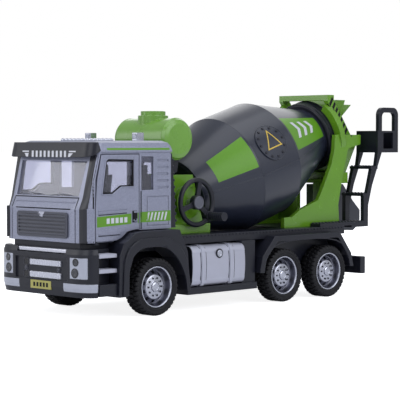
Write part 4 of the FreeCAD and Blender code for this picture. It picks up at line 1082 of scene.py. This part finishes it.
# Drum: two glossy slate half shells snapped together along the flanks, with a nose plate, raised
# belt edges, a black collar, a bolted hatch, and printed green panels on both cones.
slate = finish_of("slate", (0.016, 0.020, 0.036), (0.09, 0.095, 0.13), mottle=0.08, roughness=0.31,
                  roughness_spread=0.08, coat=0.15, edge_wear=0.2, edge_radius=0.0003, bump=0.04)
dress(slate, "drum_shell_upper", "drum_shell_lower", "drum_hatch", "drum_nose_plate", "drum_blades")
dress(satin_black, "drum_collar")
spin = next(joint for joint in frame["joints"] if joint["name"] == "drum_spin")
DRUM_START, DRUM_WAY = Vector(spin["pos_m"]), Vector(spin["axis"]).normalized()
DRUM_UP = Vector((0, 1, 0)).cross(DRUM_WAY).normalized()
if DRUM_UP.z < 0:
    DRUM_UP = -DRUM_UP


def on_drum(station, angle):
    """A point on the drum's axis and the way out from it at that angle from the top."""
    turn = math.radians(angle)
    return DRUM_START + DRUM_WAY * station * MM, DRUM_UP * math.cos(turn) + Vector((0, 1, 0)) * math.sin(turn)


def from_outside(station, angle):
    """Reads (station, angle) as a ray that comes in square to the drum's axis."""
    centre_point, out = on_drum(station, angle)
    return centre_point + out * 45 * MM, -out


def drum_ring(station, radius):
    """A circle round the drum's axis."""
    return hoop_line(DRUM_START + DRUM_WAY * station * MM, radius, DRUM_WAY, 120), True


drum_surface = surface_of("drum_shell_upper", "drum_shell_lower")
belt_edges = [drum_ring(0.0, 24.88), drum_ring(23.1, 24.88), drum_ring(-25.8, 14.95)]
flank_lips = []
for side in (1, -1):
    for start, end in ((-25.5, -0.4), (0.4, 22.7), (23.5, 53.6)):
        points = []
        for i in range(25):
            ray_start, way = from_outside(start + (end - start) * i / 24, side * 89.0)
            points.append(drum_surface.ray_cast(ray_start, way)[0])
        flank_lips.append((points, False))
fit("drum_belt_edges", [bead("belt_edges", belt_edges, 0.17, slate)], "drum", smooth=60)
fit("drum_flank_lips", [bead("flank_lips", flank_lips, 0.15, slate)], "drum", smooth=60)
collar_rings = [drum_ring(55.5, 15.25), drum_ring(57.2, 15.3), drum_ring(61.2, 15.25)]
fit("drum_collar_beads", [bead("collar_beads", collar_rings, 0.28, satin_black)], "drum",
    smooth=60)

panels, chevrons = [], []
for side in (1, -1):
    front = [((-19.0, side * 47), (-0.9, side * 45), (-0.9, side * 79.5), (-18.6, side * 79))]
    rear = [((24.3, side * 43), (53.4, side * 44), (53.4, side * 84), (24.3, side * 80.5))]
    panels.append(laid("front_panel", front, from_outside, drum_surface, print_green, steps=(12, 16)))
    panels.append(laid("rear_panel", rear, from_outside, drum_surface, print_green, steps=(14, 18)))
    marks = []
    for i in range(3):
        tip = 29.5 + 6.2 * i
        low, point, high = side * 50, side * 60, side * 70
        marks.append(((tip, low), (tip + 2.6, low), (tip + 5.2, point), (tip + 2.6, point)))
        marks.append(((tip + 2.6, point), (tip + 5.2, point), (tip + 2.6, high), (tip, high)))
    chevrons.append(laid("chevrons", marks, from_outside, drum_surface, print_white, lift=0.07, steps=(6, 8)))
fit("drum_green_panels", panels, "drum", smooth=40)
fit("drum_chevrons", chevrons, "drum", smooth=40)

HATCH_STATION, HATCH_ANGLE, HATCH_RADIUS = 11.1, 62.6, 7.9
hatch_centre, hatch_out = on_drum(HATCH_STATION, HATCH_ANGLE)
hatch_across = DRUM_WAY.cross(hatch_out).normalized()


def on_hatch(u, v):
    """Reads (along the drum, round the drum) millimetres from the hatch's middle as a ray."""
    start = hatch_centre + hatch_out * 45 * MM + (DRUM_WAY * u + hatch_across * v) * MM
    return start, -hatch_out


hatch_surface = surface_of("drum_hatch", "drum_shell_upper")
bolt_profile = [(0, 0.0), (0.62, 0.0), (0.62, 0.25), (0.45, 0.42), (0.22, 0.42), (0.18, 0.3), (0, 0.3)]
bolt_ring = []
for i in range(12):
    angle = math.tau * i / 12
    start, way = on_hatch(6.6 * math.cos(angle), 6.6 * math.sin(angle))
    place, normal, _, _ = hatch_surface.ray_cast(start, way)
    bolt = turned("hatch_bolt", bolt_profile, 12, satin_black)
    bolt.transform(facing(place - normal * 0.05 * MM, normal))
    bolt_ring.append(bolt)
fit("hatch_bolts", bolt_ring, "drum", smooth=35)
hatch_edge = []
for i in range(96):
    angle = math.tau * i / 96
    start, way = on_hatch((HATCH_RADIUS - 0.12) * math.cos(angle), (HATCH_RADIUS - 0.12) * math.sin(angle))
    place = hatch_surface.ray_cast(start, way)[0]
    hatch_edge.append(place)
fit("hatch_edge", [bead("hatch_edge", [(hatch_edge, True)], 0.15, slate)], "drum", smooth=60)
print_yellow = finish_of("print_yellow", (0.62, 0.43, 0.06), (0.5, 0.4, 0.1), mottle=0.1, roughness=0.4,
                         edge_wear=0.0, mottle_scale=900.0)
TRIANGLE = [(-3.6, 2.6), (4.4, 2.6), (0.9, -5.0)]
fit("hatch_triangle", [laid("triangle", strip(TRIANGLE, 0.55, True), on_hatch, hatch_surface, print_yellow,
                            lift=0.06, steps=(10, 2))], "drum", smooth=40)


# Rear frame, hopper and funnel: green plastic. The legs and saddle carry the drum's neck, and a
# hoop over the mouth has dark slanting bars printed across its sloping legs.
dress(frame_green, "rear_frame", "charging_hopper", "collecting_funnel")
frame_surface = surface_of("rear_frame")
LEG_TOP, LEG_FOOT = Vector((-118.9, 86.0)), Vector((-131.2, 69.7))
leg_way = (LEG_FOOT - LEG_TOP).normalized()
leg_across = Vector((-leg_way.y, leg_way.x))
LEG_WIDTH, BAR_PITCH, BAR_WIDTH = 3.75, 2.75, 1.5
hazard = []
for side in (1, -1):
    bars = []
    for i in range(7):
        near, far = LEG_TOP + leg_way * BAR_PITCH * i, LEG_TOP + leg_way * (BAR_PITCH * i + BAR_WIDTH)
        skew = leg_way * 1.5 + leg_across * LEG_WIDTH
        bars.append([tuple(corner) for corner in (near, far, far + skew, near + skew)])
    hazard.append(laid("dark_bars", bars, from_side(side), frame_surface, painted_shade_seal_and_print_black, steps=(6, 12)))
fit("hoop_bars", hazard, "chassis")


# Discharge chute: one dark grey moulding that swings on a pin under the funnel.
chute_grey = finish_of("chute_grey", (0.030, 0.034, 0.046), (0.1, 0.1, 0.13), mottle=0.12, roughness=0.34,
                       edge_wear=0.35, edge_radius=0.0004)
dress(chute_grey, "chute")


# Ladder and platform: one black plastic moulding clipped to the tail of the deck, with saw teeth
# along the treads and along the strip it stands on.
dress(satin_black, "ladder")
TOOTH = [(-0.5, 0.0), (0.5, 0.0), (0.3, 0.45), (-0.3, 0.45)]
teeth = []
for x, z in ((-129.3, 43.25), (-133.1, 43.25), (-134.9, 55.15), (-138.4, 55.15)):
    tooth = slab("tread_tooth", TOOTH, 0.8, 0.08, satin_black)
    teeth.append(repeated(tooth, 7, (0, 1.75, 0), 0, Matrix.Translation(at(x, 12.6, z))))
for y in (19.2, 21.2, 23.4):
    tooth = slab("strip_tooth", TOOTH, 1.1, 0.08, satin_black)
    teeth.append(repeated(tooth, 15, (-2.15, 0, 0), 0, Matrix.Translation(at(-100.9, y, 30.95))))
fit("ladder_teeth", teeth, "chassis")


# Screws: steel cross-head screws under the chassis hold the cab, pedestal and rear frame.
SCREW = [(0, -0.25), (0.5, -0.35), (1.3, -0.35), (1.4, -0.1), (1.4, 0.3), (0, 0.3)]
screw = turned("screw", SCREW, 24, steel)
screw_rows = [repeated(screw, 2, (-17.0, 0, 0), 0, Matrix.Translation(at(-19.0, y, 17.0)))
              for y in (-4.5, 4.5)]
fit("base_screws", screw_rows, "chassis", smooth=35)
